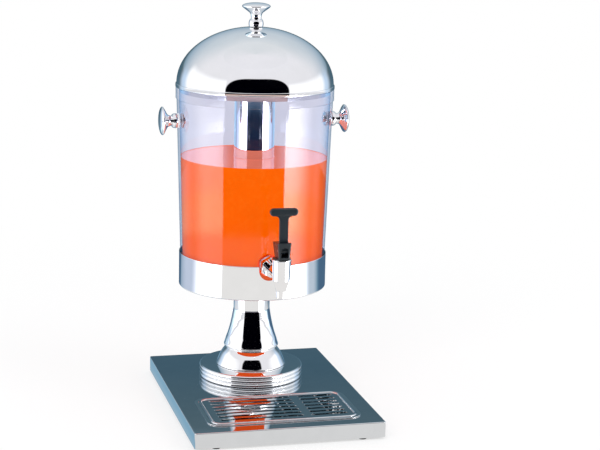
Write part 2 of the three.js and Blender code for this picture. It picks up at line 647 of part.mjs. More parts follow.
// Lever: a T bar on a flat stem, a boss on the pin, and a fork that lifts the valve's head
function makeLever() {
  const pinY = tapY - leverPin.forward;
  const top = pinZ + lever.rise;
  const barLow = top - leverBar.height;
  const half = lever.width / 2;
  const footHalf = lever.footWidth / 2;
  const face = new THREE.Shape();
  face.moveTo(-footHalf, pinZ);
  face.lineTo(footHalf, pinZ);
  face.lineTo(half, barLow - lever.fillet);
  face.quadraticCurveTo(half, barLow, half + lever.fillet, barLow);
  face.lineTo(half + lever.fillet, barLow + leverBar.height / 2);
  face.lineTo(-half - lever.fillet, barLow + leverBar.height / 2);
  face.lineTo(-half - lever.fillet, barLow);
  face.quadraticCurveTo(-half, barLow, -half, barLow - lever.fillet);
  face.closePath();
  const upright = (geometry) => solid(geometry.rotateX(Math.PI / 2).translate(0, pinY, 0));
  const depth = lever.thickness;
  const stem = new THREE.ExtrudeGeometry(face, { depth, bevelEnabled: false, curveSegments: 5 });
  stem.translate(0, 0, -lever.thickness / 2);
  const round = leverBar.height / 2;
  const grip = new THREE.Shape();
  const reach = leverBar.length / 2 - round;
  grip.absarc(reach, barLow + round, round, -Math.PI / 2, Math.PI / 2);
  grip.absarc(-reach, barLow + round, round, Math.PI / 2, Math.PI * 1.5);
  grip.closePath();
  const { edge } = leverBar;
  const handle = new THREE.ExtrudeGeometry(grip, {
    depth: leverBar.depth - 2 * edge,
    bevelThickness: edge,
    bevelSize: edge,
    bevelOffset: -edge,
    bevelSegments: 2,
    curveSegments: 4,
  });
  handle.translate(0, 0, edge - leverBar.depth / 2);
  const across = (radius, reachX, forward) => solid(bar(radius, -reachX, reachX, sides.small, 'x')
    .translate(0, pinY + forward, pinZ));
  const boss = across(lever.boss, footHalf, 0);
  const arm = new THREE.BoxGeometry(2 * fork.outerHalf, leverPin.forward, fork.thickness);
  arm.translate(0, pinY + leverPin.forward / 2, pinZ);
  const tip = across(fork.thickness / 2, fork.outerHalf, leverPin.forward);
  const body = join(upright(stem), upright(handle), boss, solid(arm), tip);
  const slotStart = pinY + lever.boss + gap;
  const slotEnd = tapY + fork.thickness;
  const forkSlot = new THREE.BoxGeometry(2 * fork.slotHalf, slotEnd - slotStart, lever.boss);
  forkSlot.translate(0, (slotStart + slotEnd) / 2, pinZ);
  const pinHole = across(leverPin.radius + gap, lever.footWidth, 0);
  add('tap_lever', blackPlastic, cut(body, solid(forkSlot), pinHole));
  const above = leverPin.above - barrel.rise;
  const capHalf = mapLinear(above, 0, bonnet.height, bonnetLow.width, bonnetTop.width) / 2;
  add('lever_pin', plainSteel, across(leverPin.radius, capHalf - leverPin.inset, 0));
}

// Valve: a stem with a head over the fork, and a soft cup on the seat
function makeValve() {
  const slope = (chamber.seatDrop - chamber.drop) / (chamber.radius - nozzle.bore);
  const shoulder = cupLow + (valve.cup - nozzle.bore) * slope;
  const socket = valve.stem + gap;
  const socketLow = cupHigh - valve.socketDepth;
  add('seat_cup', silicone, turned([
    [0, cupLow], [nozzle.bore, cupLow], [valve.cup, shoulder], [valve.cup, cupHigh - valve.stem],
    [valve.cup - valve.stem, cupHigh], [socket, cupHigh], [socket, socketLow], [0, socketLow],
  ], sides.small, 0, tapY));
  const headLow = pinZ + fork.thickness / 2 + gap;
  add('valve_stem', plainSteel, turned([
    [0, socketLow + gap], [valve.stem, socketLow + gap], [valve.stem, headLow], [valve.head, headLow],
    [valve.head, headLow + valve.headHeight], [0, headLow + valve.headHeight],
  ], sides.small, 0, tapY));
}

// Return spring between the cup and the bonnet's plug
class Helix extends THREE.Curve {
  constructor(radius, low, high, turns) {
    super();
    Object.assign(this, { radius, low, high, turns });
  }

  getPoint(share) {
    const angle = Math.PI * 2 * this.turns * share;
    const z = this.low + (this.high - this.low) * share;
    return new THREE.Vector3(this.radius * Math.cos(angle), this.radius * Math.sin(angle), z);
  }
}

// The least distance between the coil's surface on one turn and on the next
function leastCoilGap(helix, wire, steps) {
  const points = helix.getPoints(steps * helix.turns);
  let least = Infinity;
  points.forEach((point, i) => {
    for (let k = i + Math.floor(steps / 2); k < points.length; k += 1) {
      least = Math.min(least, point.distanceTo(points[k]) - wire);
    }
  });
  return least;
}

function makeSpring() {
  const stepsPerTurn = 8;
  const low = cupHigh + gap + spring.wire / 2;
  const high = shankZ + barrel.rise - bonnet.plugDepth - gap - spring.wire / 2;
  const helix = new Helix(spring.coil, low, high, spring.turns);
  const section = new THREE.Shape();
  const wireSides = 5;
  for (let side = 0; side < wireSides; side += 1) {
    const angle = Math.PI * 2 * side / wireSides;
    const x = spring.wire / 2 * Math.cos(angle);
    const y = spring.wire / 2 * Math.sin(angle);
    if (side === 0) section.moveTo(x, y);
    else section.lineTo(x, y);
  }
  section.closePath();
  const geometry = new THREE.ExtrudeGeometry(section, {
    steps: stepsPerTurn * spring.turns,
    extrudePath: helix,
    bevelEnabled: false,
  });
  const least = leastCoilGap(helix, spring.wire, stepsPerTurn);
  console.log(`tap_spring: least gap to itself ${least.toFixed(2)} mm`);
  add('tap_spring', plainSteel, solid(geometry.translate(0, tapY, 0)));
}

// Drip tray: a flange on the base, a stepped pan with a ledge for the grille
function makeTray() {
  const flangeLow = baseTop + gap;
  const flangeTop = flangeLow + trayEdge.sheet;
  const panLow = baseTop - tray.depth;
  const lowInset = trayEdge.flange + trayEdge.ledge;
  const lowInner = trayOutline(lowInset + trayEdge.sheet);
  const flange = plate(trayOutline(0), flangeLow, flangeTop);
  const upper = plate(trayOutline(trayEdge.flange), baseTop - trayEdge.sheet, flangeTop);
  const lower = plate(trayOutline(lowInset), panLow, flangeTop);
  const upperHollow = plate(trayOutline(trayEdge.flange + trayEdge.sheet), baseTop, flangeTop + overrun);
  const lowerHollow = plate(lowInner, panLow + trayEdge.sheet, flangeTop + overrun);
  add('drip_tray', polishedSteel, cut(join(flange, upper, lower), upperHollow, lowerHollow));
}

function slotShape(from, to, y) {
  const round = slot.width / 2;
  const shape = new THREE.Shape();
  shape.absarc(to - round, y, round, -Math.PI / 2, Math.PI / 2);
  shape.absarc(from + round, y, round, Math.PI / 2, Math.PI * 1.5);
  shape.closePath();
  return shape;
}

// Grille: a pressed plate that lies on the tray's ledge, with a raised bead and two banks of slots
function makeGrille() {
  const edge = trayEdge.flange + trayEdge.sheet + play;
  const low = baseTop + gap;
  const top = low + grille.sheet;
  const panel = plate(trayOutline(edge), low, top);
  const beadOuter = softPlate(trayOutline(edge), low, top + grille.beadRise, grille.beadRise / 2);
  const beadInner = plate(trayOutline(edge + grille.bead), low - overrun, top + grille.beadRise + overrun);
  const bead = beadOuter.subtract(beadInner);
  const left = grille.left - tray.width / 2;
  const right = tray.width / 2 - grille.right;
  const middle = right - (right - left) * slot.rightBankShare;
  const first = trayY - tray.length / 2 + grille.front;
  const pitch = (tray.length - grille.front - grille.back) / (slot.rows - 1);
  const slots = [];
  for (let row = 0; row < slot.rows; row += 1) {
    for (const [from, to] of [[left, middle - slot.bridge], [middle, right]]) {
      slots.push(plate(slotShape(from, to, first + pitch * row), low - overrun, top + overrun));
    }
  }
  add('drip_grille', mirrorSteel, cut(join(panel, bead), ...slots));
}

makeBase();
makeRing();
makeColumn();
makeRod();
makeCollar();
makeTank();
makeIceTube();
makeCarryKnob('right', 1);
makeCarryKnob('left', -1);
makeLid();
makeTapBody();
makeTapFixing();
makeBonnet();
makeLever();
makeValve();
makeSpring();
makeTray();
makeGrille();

export default parts;
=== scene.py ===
import json
import math

import bmesh
import bpy
from mathutils import Matrix, Vector


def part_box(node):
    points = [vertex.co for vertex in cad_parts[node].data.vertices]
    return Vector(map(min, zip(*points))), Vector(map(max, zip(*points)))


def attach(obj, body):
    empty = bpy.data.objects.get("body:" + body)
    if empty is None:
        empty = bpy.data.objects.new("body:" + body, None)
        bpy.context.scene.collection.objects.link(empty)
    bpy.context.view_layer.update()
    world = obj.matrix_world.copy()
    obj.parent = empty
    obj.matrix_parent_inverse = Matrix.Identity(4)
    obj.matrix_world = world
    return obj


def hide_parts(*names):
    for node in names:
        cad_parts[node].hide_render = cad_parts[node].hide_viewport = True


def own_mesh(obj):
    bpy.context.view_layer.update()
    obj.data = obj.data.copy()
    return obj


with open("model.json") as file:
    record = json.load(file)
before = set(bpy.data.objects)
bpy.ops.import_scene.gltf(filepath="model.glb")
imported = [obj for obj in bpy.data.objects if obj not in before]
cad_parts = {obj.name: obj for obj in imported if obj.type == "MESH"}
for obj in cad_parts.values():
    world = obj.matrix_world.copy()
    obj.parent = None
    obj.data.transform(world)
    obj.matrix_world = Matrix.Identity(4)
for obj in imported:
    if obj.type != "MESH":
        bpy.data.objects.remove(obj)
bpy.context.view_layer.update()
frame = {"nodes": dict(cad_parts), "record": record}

nodes = frame["nodes"]
MM = 0.001

# Camera of the photograph: place, directions and lens
CAMERA_PLACE = Vector((-512.42, -2145.36, 724.37)) * MM
CAMERA_YAW = math.radians(14.742)
CAMERA_PITCH = math.radians(11.878)
CAMERA_ROLL = math.radians(1.273)
CAMERA_FOCAL_PIXELS = 1618.91
PHOTO_WIDTH = 600
SENSOR_WIDTH = 36.0
CAMERA_REACH = 50.0

# Facets round turned pieces and round tools, and the angles past which an edge stays sharp or is bevelled
WIDE_ROUND = 200
ROUND = 160
SMALL_ROUND = 96
FINE_ROUND = 72
TOOL_ROUND = 48
SHANK_ROUND = 36
THIN_ROUND = 24
SMOOTH_ANGLE = math.radians(32)
NORMAL_WEIGHT = 50
BEVEL_ANGLE = 50.0


def box_of(node):
    low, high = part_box(node)
    return Vector(low), Vector(high)


def middle_of(node):
    low, high = box_of(node)
    return (low + high) / 2


tank_low, tank_high = box_of("tank")
collar_low, collar_high = box_of("collar")
lid_low, lid_high = box_of("lid_dome")
AXIS = middle_of("collar").xy
ON_AXIS = (AXIS.x, AXIS.y, 0.0)
TAP = middle_of("valve_stem").xy
SHANK_Z = middle_of("tap_hex_nut").z


def add_object(name, data):
    piece = bpy.data.objects.new(name, data)
    bpy.context.scene.collection.objects.link(piece)
    return piece


# Camera

def make_camera():
    forward = Vector((
        math.sin(CAMERA_YAW) * math.cos(CAMERA_PITCH),
        math.cos(CAMERA_YAW) * math.cos(CAMERA_PITCH),
        -math.sin(CAMERA_PITCH),
    ))
    level = Vector((math.cos(CAMERA_YAW), -math.sin(CAMERA_YAW), 0.0))
    up = level.cross(forward)
    right = math.cos(CAMERA_ROLL) * level + math.sin(CAMERA_ROLL) * up
    top = -math.sin(CAMERA_ROLL) * level + math.cos(CAMERA_ROLL) * up
    data = bpy.data.cameras.new("photo_camera")
    data.sensor_width = SENSOR_WIDTH
    data.lens = CAMERA_FOCAL_PIXELS * SENSOR_WIDTH / PHOTO_WIDTH
    data.clip_end = CAMERA_REACH
    camera = add_object("photo_camera", data)
    turn = Matrix((right, top, -forward)).transposed()
    camera.matrix_world = Matrix.Translation(CAMERA_PLACE) @ turn.to_4x4()
    bpy.context.scene.camera = camera


# Node helpers

class Nodes:
    """A small builder for the node tree of a material or the world."""

    def __init__(self, tree):
        self.tree = tree
        self.tree.nodes.clear()

    def add(self, kind, values=None, **settings):
        node = self.tree.nodes.new(kind)
        for name, value in settings.items():
            setattr(node, name, value)
        for key, value in (values or {}).items():
            self.set(node.inputs[key], value)
        return node

    def set(self, socket, value):
        if isinstance(value, bpy.types.NodeSocket):
            self.tree.links.new(value, socket)
        else:
            socket.default_value = value

    def math(self, operation, first, second=0.0):
        return self.add("ShaderNodeMath", {0: first, 1: second}, operation=operation).outputs[0]

    def times(self, first, second):
        return self.math("MULTIPLY", first, second)

    def vector(self, operation, first, second, output="Vector"):
        node = self.add("ShaderNodeVectorMath", {0: first, 1: second}, operation=operation)
        return node.outputs[output]

    def ramp(self, value, start, end, low=0.0, high=1.0):
        """Goes smoothly from low to high as the value goes from start to end."""
        node = self.add("ShaderNodeMapRange", {0: value, 1: start, 2: end, 3: low, 4: high},
                        interpolation_type="SMOOTHSTEP")
        return node.outputs[0]

    def fall(self, value, start, end):
        """Goes smoothly from one to nought as the value goes from start to end."""
        return self.ramp(value, start, end, 1.0, 0.0)

    def band(self, value, rise, fall):
        """One from the end of the rise to the start of the fall, and nought outside both."""
        return self.times(self.ramp(value, *rise), self.fall(value, *fall))

    def mix(self, share, first, second):
        node = self.add("ShaderNodeMix", {"Factor": share}, data_type="RGBA")
        self.set(node.inputs[6], first)
        self.set(node.inputs[7], second)
        return node.outputs[2]

    def shader_mix(self, share, first, second):
        node = self.add("ShaderNodeMixShader", {0: share, 1: first, 2: second})
        return node.outputs[0]

    def emission(self, tone):
        return self.add("ShaderNodeEmission", {"Color": tone, "Strength": 1.0}).outputs[0]


def colour(red, green, blue):
    """A colour given as the eye reads it, 0 to 255, in the renderer's linear values."""
    def linear(value):
        share = value / 255
        return share / 12.92 if share <= 0.04045 else ((share + 0.055) / 1.055) ** 2.4
    return (linear(red), linear(green), linear(blue), 1.0)


WHITE = (1.0, 1.0, 1.0, 1.0)


# Studio: what polished metal sees. A wall round the object carries a dark card, two soft boxes and a
# slate backdrop. Only mirrored rays see it; the camera sees plain white and a pale floor.
# A pair of numbers is a stretch, where a change starts and where it is complete. Angles are in degrees
# from the camera's side round the tank's axis, and lengths in metres from that axis or from the ground.
# THROUGH_TANK counts the clear surfaces that a ray has passed.

TO_CAMERA = Vector((CAMERA_PLACE.x - AXIS.x, CAMERA_PLACE.y - AXIS.y)).normalized()
TO_RIGHT = Vector((-TO_CAMERA.y, TO_CAMERA.x))
WALL_RADIUS = 1.95
WALL_SETBACK = -0.35
WALL_HEIGHT = 3.6
WALL_STEPS = 96
LEFT_TO_RIGHT = (-1.0, 1.0)
CEILING_TURN = (60.0, 170.0)
PLAIN_LIGHT = (0.95, 0.95, 0.96, 1.0)
CARD_MIDDLE = 3.5
FLOOR_CARD_MIDDLE = 0.2
CARD_HALF = 44.5
CARD_EDGE = (CARD_HALF, CARD_HALF + 2.0)
CARD_REACH = CARD_HALF + 1.5
CARD_SIDE_POWER = 3.2
CARD_TOP_POWER = 2.0
CARD_FADE_SHARES = (0.93, 1.05)
CARD_SPRING = 0.2
CARD_TOP = 1.78
BOX_END = (110.0, 124.0)
BOX_TOP_LEFT = (1.0, 1.5)
BOX_TOP_RIGHT = (0.72, 1.12)
BOX_LIGHT = (1.15, 1.15, 1.17, 1.0)
VEIL_LEFT = (3.7, 3.7, 3.9, 1.0)
VEIL_LEFT_END = (0.9, 1.02, 1.26, 1.0)
VEIL_RIGHT = (10.6, 10.3, 10.5, 1.0)
VEIL_RIGHT_END = (0.84, 0.98, 1.14, 1.0)
VEIL_LEFT_TURN = (-70.0, -105.0)
VEIL_RIGHT_TURN = (50.0, 98.0)
VEIL_STRENGTH = 1.3
RIM_LOW = (0.155, 0.165)
RIM_TOP = (0.225, 0.245)
FOOT_TOP = (0.18, 0.19)
THROUGH_TANK = (2.4, 2.6)
BACK_MIDDLE = (176.6, 178.2)
BACK_TURN = (88.0, 150.0)
BLUE_RISE = (105.0, 116.0)
BLUE_FALL = (124.0, 142.0)
BLUE_TOP = (0.6, 1.1)
BLACK = (0.0, 0.0, 0.001, 1.0)
# Painted reflection: an orange glowing card under the collar puts the drink's colour into the polished
# column.
REFLECTED_DRINK_COLOUR = colour(222, 80, 30)
GLOW_INNER = 34 * MM
GLOW_OUTER = 103 * MM
GLOW_GAP = 0.6 * MM
CEILING_FRONT = colour(238, 237, 242)
CEILING_BACK = colour(224, 228, 232)
SIDE_BLUE = colour(200, 222, 246)
FRONT_TONES = ((0.0, colour(236, 235, 240)), (1.6, colour(238, 237, 241)), (3.6, colour(240, 239, 244)))
BACK_TONES = (
    (0.0, colour(112, 142, 160)), (0.25, colour(82, 110, 126)), (0.5, colour(70, 98, 114)),
    (0.66, colour(84, 106, 116)), (0.76, colour(132, 157, 174)), (0.95, colour(160, 181, 197)),
    (1.2, colour(180, 195, 208)), (1.6, colour(198, 209, 218)), (3.6, colour(224, 228, 232)),
)
VEIL_TINT_LEFT = (1.0, 1.25, 0.96, 1.0)
VEIL_TINT_RIGHT = (0.7, 0.86, 0.68, 1.0)
BACK_WHITE = (0.7, 1.1, 1.3, 1.0)
FLOOR_HALF = 6.0
FLOOR_COLOUR = (0.93, 0.93, 0.93, 1.0)
FLOOR_GREY = colour(236, 234, 232)
FLOOR_SLATE = colour(104, 142, 166)
FLOOR_SKY = colour(140, 180, 204)
FLOOR_NAVY = colour(22, 42, 66)
FLOOR_TEAL = colour(92, 118, 138)
FLOOR_EDGE = colour(74, 104, 132)
FLOOR_GLOW_SHARE = 0.6
FLOOR_GLOW = (0.3, 1.2)
FLOOR_TURN = (0.42, 0.6)
FLOOR_SIDE = (0.0, 0.1)
FLOOR_PATCH_RISE = (0.11, 0.14)
FLOOR_PATCH_FALL = (0.155, 0.18)
FLOOR_PATCH_FRONT = (-0.26, -0.24)
FLOOR_BACK = (120.0, 150.0)
FLOOR_AHEAD = (96.0, 110.0)
FLOOR_BOX_LEFT = (115.0, 160.0)
FLOOR_BOX_RIGHT = (104.0, 122.0)
FLOOR_EDGE_LEFT = (140.0, 146.0)
FLOOR_EDGE_RIGHT = (114.0, 126.0)
VEIL_START = (1.0, 1.12)
VEIL_START_SHARES = (0.6, 1.0)
VEIL_FAR = (1.4, 2.2)
JUICE_TINT_RISE = (1.0, 1.08)
JUICE_TINT_FALL = (1.3, 1.5)
FLOOR_TONES = (
    (0.0, FLOOR_GREY), (0.99, FLOOR_GREY), (1.05, FLOOR_NAVY), (2.4, FLOOR_NAVY), (FLOOR_HALF, FLOOR_TEAL),
)
# Each lamp's name, place and power
LAMPS = (("left", (-1.6, -1.8, 1.9), 16.0), ("right", (1.9, -1.5, 1.7), 12.0))
LAMP_WIDTH = 1.2
LAMP_HEIGHT = 1.6
RIM_TONE = colour(226, 226, 230)
RIM_PINK = colour(242, 208, 198)
FOOT_TONES = (
    (0.0, FLOOR_NAVY), (0.098, FLOOR_NAVY), (0.106, FLOOR_TEAL), (0.142, FLOOR_TEAL), (0.146, RIM_PINK),
    (0.17, RIM_PINK), (0.174, BLACK), (3.6, BLACK),
)


def direction_angles(n, vector):
    """The signed angle of a place or direction round the tank's axis, from the camera's side, in degrees."""
    def along(axis):
        return n.vector("DOT_PRODUCT", vector, Vector((axis.x, axis.y, 0.0)), "Value")
    turn = n.math("ARCTAN2", along(TO_RIGHT), along(TO_CAMERA))
    return n.times(turn, 180 / math.pi)


def tones(n, value, stops, reach):
    """A colour ramp over a height or a distance, from stops of that length and a colour."""
    ramp = n.add("ShaderNodeValToRGB", {"Fac": n.math("DIVIDE", value, reach)})
    elements = ramp.color_ramp.elements
    elements[0].position = stops[0][0] / reach
    elements[0].color = stops[0][1]
    elements[1].position = stops[-1][0] / reach
    elements[1].color = stops[-1][1]
    for height, tone in stops[1:-1]:
        element = elements.new(height / reach)
        element.color = tone
    return ramp.outputs["Color"]


def placed(n):
    """The shaded place measured from the tank's axis, and its height."""
    position = n.add("ShaderNodeNewGeometry").outputs["Position"]
    height = n.add("ShaderNodeSeparateXYZ", {0: position}).outputs["Z"]
    return n.vector("SUBTRACT", position, Vector(ON_AXIS)), height


def make_world():
    world = bpy.data.worlds.new("studio")
    bpy.context.scene.world = world
    world.use_nodes = True
    n = Nodes(world.node_tree)
    direction = n.add("ShaderNodeTexCoord").outputs["Generated"]
    angle = n.math("ABSOLUTE", direction_angles(n, direction))
    ceiling = n.mix(n.ramp(angle, *CEILING_TURN), CEILING_FRONT, CEILING_BACK)
    rays = n.add("ShaderNodeLightPath")
    glossy = n.mix(rays.outputs["Is Glossy Ray"], PLAIN_LIGHT, ceiling)
    seen = n.math("MAXIMUM", rays.outputs["Is Camera Ray"], rays.outputs["Is Transmission Ray"])
    background = n.add("ShaderNodeBackground", {"Color": n.mix(seen, glossy, WHITE), "Strength": 1.0})
    output = n.add("ShaderNodeOutputWorld")
    n.set(output.inputs["Surface"], background.outputs[0])


def veil_light(n, signed, strength):
    """What the clear tank's wall mirrors beside the dark card: white, and fading towards the back."""
    right = n.mix(n.ramp(signed, *VEIL_RIGHT_TURN), VEIL_RIGHT, VEIL_RIGHT_END)
    left = n.mix(n.ramp(signed, *VEIL_LEFT_TURN), VEIL_LEFT, VEIL_LEFT_END)
    veil = n.mix(n.ramp(signed, *LEFT_TO_RIGHT), left, right)
    node = n.add("ShaderNodeVectorMath", {0: veil}, operation="SCALE")
    n.set(node.inputs["Scale"], strength)
    return node.outputs["Vector"]


def wall_backdrop(n, height, angle):
    """The wall's plain tones. Rays that have passed through the tank see a bluish white at the back instead,
    apart from a narrow strip straight behind the tank."""
    through = n.ramp(n.add("ShaderNodeLightPath").outputs["Transparent Depth"], *THROUGH_TANK)
    through = n.times(through, n.fall(angle, *BACK_MIDDLE))
    back = n.mix(through, tones(n, height, BACK_TONES, WALL_HEIGHT), BACK_WHITE)
    base = n.mix(n.ramp(angle, *BACK_TURN), tones(n, height, FRONT_TONES, WALL_HEIGHT), back)
    blue = n.times(n.band(angle, BLUE_RISE, BLUE_FALL), n.fall(height, *BLUE_TOP))
    return n.mix(blue, base, SIDE_BLUE)


def wall_boxes(n, height, signed, angle, off_card):
    """How much of a soft box there is at a place, and its light, with the veil and a rim at its foot."""
    top = n.mix(n.ramp(signed, *LEFT_TO_RIGHT), n.fall(height, *BOX_TOP_LEFT), n.fall(height, *BOX_TOP_RIGHT))
    box = n.times(n.times(n.ramp(off_card, *CARD_EDGE), n.fall(angle, *BOX_END)), top)
    light = n.mix(n.ramp(height, *RIM_LOW), veil_light(n, signed, VEIL_STRENGTH), RIM_TONE)
    return box, n.mix(n.ramp(height, *RIM_TOP), light, BOX_LIGHT)


def wall_card(n, height, off_card):
    """The dark card in front: straight sides and a round top."""
    over = n.math("MAXIMUM", n.math("SUBTRACT", height, CARD_SPRING), 0.0)
    across = n.math("POWER", n.math("DIVIDE", off_card, CARD_REACH), CARD_SIDE_POWER)
    rise = n.math("POWER", n.math("DIVIDE", over, CARD_TOP - CARD_SPRING), CARD_TOP_POWER)
    return n.fall(n.math("ADD", across, rise), *CARD_FADE_SHARES)


def wall_material():
    material, n, output = new_material("studio_wall")
    away, height = placed(n)
    signed = direction_angles(n, away)
    angle = n.math("ABSOLUTE", signed)
    off_card = n.math("ABSOLUTE", n.math("SUBTRACT", signed, CARD_MIDDLE))
    box, light = wall_boxes(n, height, signed, angle, off_card)
    studio = n.mix(box, wall_backdrop(n, height, angle), light)
    studio = n.mix(wall_card(n, height, off_card), studio, BLACK)
    foot = n.times(n.fall(off_card, *CARD_EDGE), n.fall(height, *FOOT_TOP))
    studio = n.mix(foot, studio, tones(n, height, FOOT_TONES, WALL_HEIGHT))
    n.set(output.inputs["Surface"], n.emission(studio))
    return material


def make_wall():
    """The studio's round wall, which only mirrored rays see."""
    centre = AXIS - WALL_SETBACK * TO_CAMERA
    build = bmesh.new()
    low, high = [], []
    for step in range(WALL_STEPS):
        angle = 2 * math.pi * step / WALL_STEPS
        x, y = centre.x + WALL_RADIUS * math.cos(angle), centre.y + WALL_RADIUS * math.sin(angle)
        low.append(build.verts.new((x, y, 0.0)))
        high.append(build.verts.new((x, y, WALL_HEIGHT)))
    join_rings(build, low, high)
    wall = add_object("studio_wall", mesh_from(build, "studio_wall"))
    wall.data.materials.append(wall_material())
    mirrors_only(wall)


def make_drink_reflection_card():
    """A glowing card under the collar, which only mirrored rays see: a painted reflection, which puts the
    drink's colour into the polished foot.
    """
    low = collar_low.z - GLOW_GAP
    top = collar_low.z - GLOW_GAP / 2
    material, n, output = new_material("painted_drink_reflection")
    n.set(output.inputs["Surface"], n.emission(REFLECTED_DRINK_COLOUR))
    outline = [(GLOW_INNER, low), (GLOW_OUTER, low), (GLOW_OUTER, top), (GLOW_INNER, top)]
    mirrors_only(turned("painted_drink_reflection", outline, material, ON_AXIS))


def mirrors_only(piece):
    piece.visible_camera = False
    piece.visible_diffuse = False
    piece.visible_transmission = False
    piece.visible_shadow = False
    piece.visible_volume_scatter = False


def floor_near(n, away, angle):
    """What metal mirrors of the floor close to the object."""
    sides = n.add("ShaderNodeSeparateXYZ", {0: away})
    left = n.times(sides.outputs["X"], -1.0)
    patch = n.band(left, FLOOR_PATCH_RISE, FLOOR_PATCH_FALL)
    patch = n.times(patch, n.ramp(sides.outputs["Y"], *FLOOR_PATCH_FRONT))
    patch = n.math("MAXIMUM", patch, n.ramp(angle, *FLOOR_BACK))
    return n.mix(patch, FLOOR_GREY, n.mix(n.ramp(left, *FLOOR_SIDE), FLOOR_SLATE, FLOOR_SKY))


def floor_far(n, signed, angle, distance):
    """What metal and the clear tank mirror of the floor further away, in line with the wall."""
    right = n.ramp(signed, *LEFT_TO_RIGHT)
    off_card = n.math("ABSOLUTE", n.math("SUBTRACT", signed, FLOOR_CARD_MIDDLE))
    fade = n.mix(right, n.fall(angle, *FLOOR_BOX_LEFT), n.fall(angle, *FLOOR_BOX_RIGHT))
    box = n.times(n.ramp(off_card, *CARD_EDGE), fade)
    strength = n.times(n.ramp(distance, *VEIL_START, *VEIL_START_SHARES),
                       n.ramp(distance, *VEIL_FAR, 1.0, VEIL_STRENGTH))
    veil = veil_light(n, signed, strength)
    warm = n.vector("MULTIPLY", veil, n.mix(right, VEIL_TINT_LEFT, VEIL_TINT_RIGHT))
    veil = n.mix(n.band(distance, JUICE_TINT_RISE, JUICE_TINT_FALL), veil, warm)
    ahead = n.mix(n.ramp(angle, *FLOOR_AHEAD), tones(n, distance, FLOOR_TONES, FLOOR_HALF), FLOOR_SLATE)
    edge = n.mix(right, n.ramp(angle, *FLOOR_EDGE_LEFT), n.ramp(angle, *FLOOR_EDGE_RIGHT))
    return n.mix(edge, n.mix(box, ahead, veil), FLOOR_EDGE)


def make_floor():
    """A pale floor that takes the object's shadow, and shows other tones to mirrored rays."""
    mesh = bpy.data.meshes.new("floor")
    size = FLOOR_HALF
    corners = [(-size, -size, 0), (size, -size, 0), (size, size, 0), (-size, size, 0)]
    mesh.from_pydata(corners, [], [(0, 1, 2, 3)])
    floor = add_object("floor", mesh)
    material, n, output = new_material("floor_pale")
    away = placed(n)[0]
    signed = direction_angles(n, away)
    angle = n.math("ABSOLUTE", signed)
    distance = n.vector("LENGTH", away, (0.0, 0.0, 0.0), "Value")
    far = floor_far(n, signed, angle, distance)
    mirrored = n.emission(n.mix(n.ramp(distance, *FLOOR_TURN), floor_near(n, away, angle), far))
    rays = n.add("ShaderNodeLightPath")
    matt = n.add("ShaderNodeBsdfDiffuse", {"Color": FLOOR_COLOUR}).outputs[0]
    glow = n.ramp(distance, *FLOOR_GLOW, FLOOR_GLOW_SHARE, 1.0)
    shown = n.shader_mix(glow, matt, n.emission(WHITE))
    shown = n.shader_mix(rays.outputs["Is Camera Ray"], matt, shown)
    shown = n.shader_mix(rays.outputs["Is Glossy Ray"], shown, mirrored)
    n.set(output.inputs["Surface"], shown)
    mesh.materials.append(material)


def make_lamps():
    """Two soft lamps from the front left and right, at a plain level."""
    for name, place, power in LAMPS:
        data = bpy.data.lights.new(f"lamp_{name}", "AREA")
        data.shape = "RECTANGLE"
        data.size = LAMP_WIDTH
        data.size_y = LAMP_HEIGHT
        data.energy = power
        lamp = add_object(f"lamp_{name}", data)
        lamp.location = place
        target = Vector((AXIS.x, AXIS.y, tank_low.z))
        lamp.rotation_euler = (target - lamp.location).to_track_quat("-Z", "Y").to_euler()
        lamp.visible_glossy = False
        lamp.visible_camera = False


# Materials: scales and detail of their noise, and the stretches of its values that count

CLOUD_DETAIL = 3.0
NOISE_ROUGHNESS = 0.55
SMEAR_SCALE = 14.0
SCRATCH_SCALE = 60.0
FINE_DETAIL = 2.0
WAVE_DETAIL = 1.0
WIDE_SHARES = (0.3, 0.7)
METAL_SHARES = (0.35, 0.65)
METAL_DARK_SHARE = 0.97
METAL_WAVE_DEPTH = 0.4 * MM
PLASTIC_SCALE = 30.0
PLASTIC_SHARES = (0.35, 0.7)
PLASTIC_LIGHT_SHARE = 1.35
PLASTIC_GRAIN_DEPTH = 0.2 * MM
PLASTIC_ROUGHNESS_SHARES = (0.85, 1.15)
TANK_SCALE = 22.0
TANK_SHARES = (0.3, 0.75)
TANK_WAVE_SCALE = 9.0
TANK_WAVE = 0.08
TANK_WAVE_DEPTH = 1 * MM
TANK_ROUGHNESS = (0.03, 0.07)
TANK_IOR = 1.49
TANK_TINT = (0.885, 0.888, 0.94, 1.0)
TANK_TINT_LIGHT = (0.9, 0.902, 0.945, 1.0)
TANK_EDGE_TINT = (0.66, 0.73, 0.84, 1.0)
TANK_EDGE_SHARES = (0.5, 1.0)
PULP_SCALE = 160.0
PULP_DETAIL = 4.0
PULP_SHARES = (0.45, 0.75)
PULP_SHARE = 0.2
PULP_ROUGHNESS = 0.06
PULP_TONE = colour(255, 140, 40)
JUICE_TONES = (colour(252, 93, 0), colour(254, 102, 0))
JUICE_FADE = 180 * MM
# The drink's glow is painted light: it makes the drink brighter than the lamps light it.
JUICE_PAINTED_GLOW = 0.42
# The drink's level top: a lighter, pinker tone and a stronger glow than the body, painted sheen and light on
# the face that light falls on.
LIT_TOP_TONE = colour(255, 138, 108)
LIT_TOP_PAINTED_GLOW = 0.52


def new_material(name):
    material = bpy.data.materials.new(name)
    material.use_nodes = True
    n = Nodes(material.node_tree)
    output = n.add("ShaderNodeOutputMaterial")
    return material, n, output


def object_place(n):
    return n.add("ShaderNodeTexCoord").outputs["Object"]


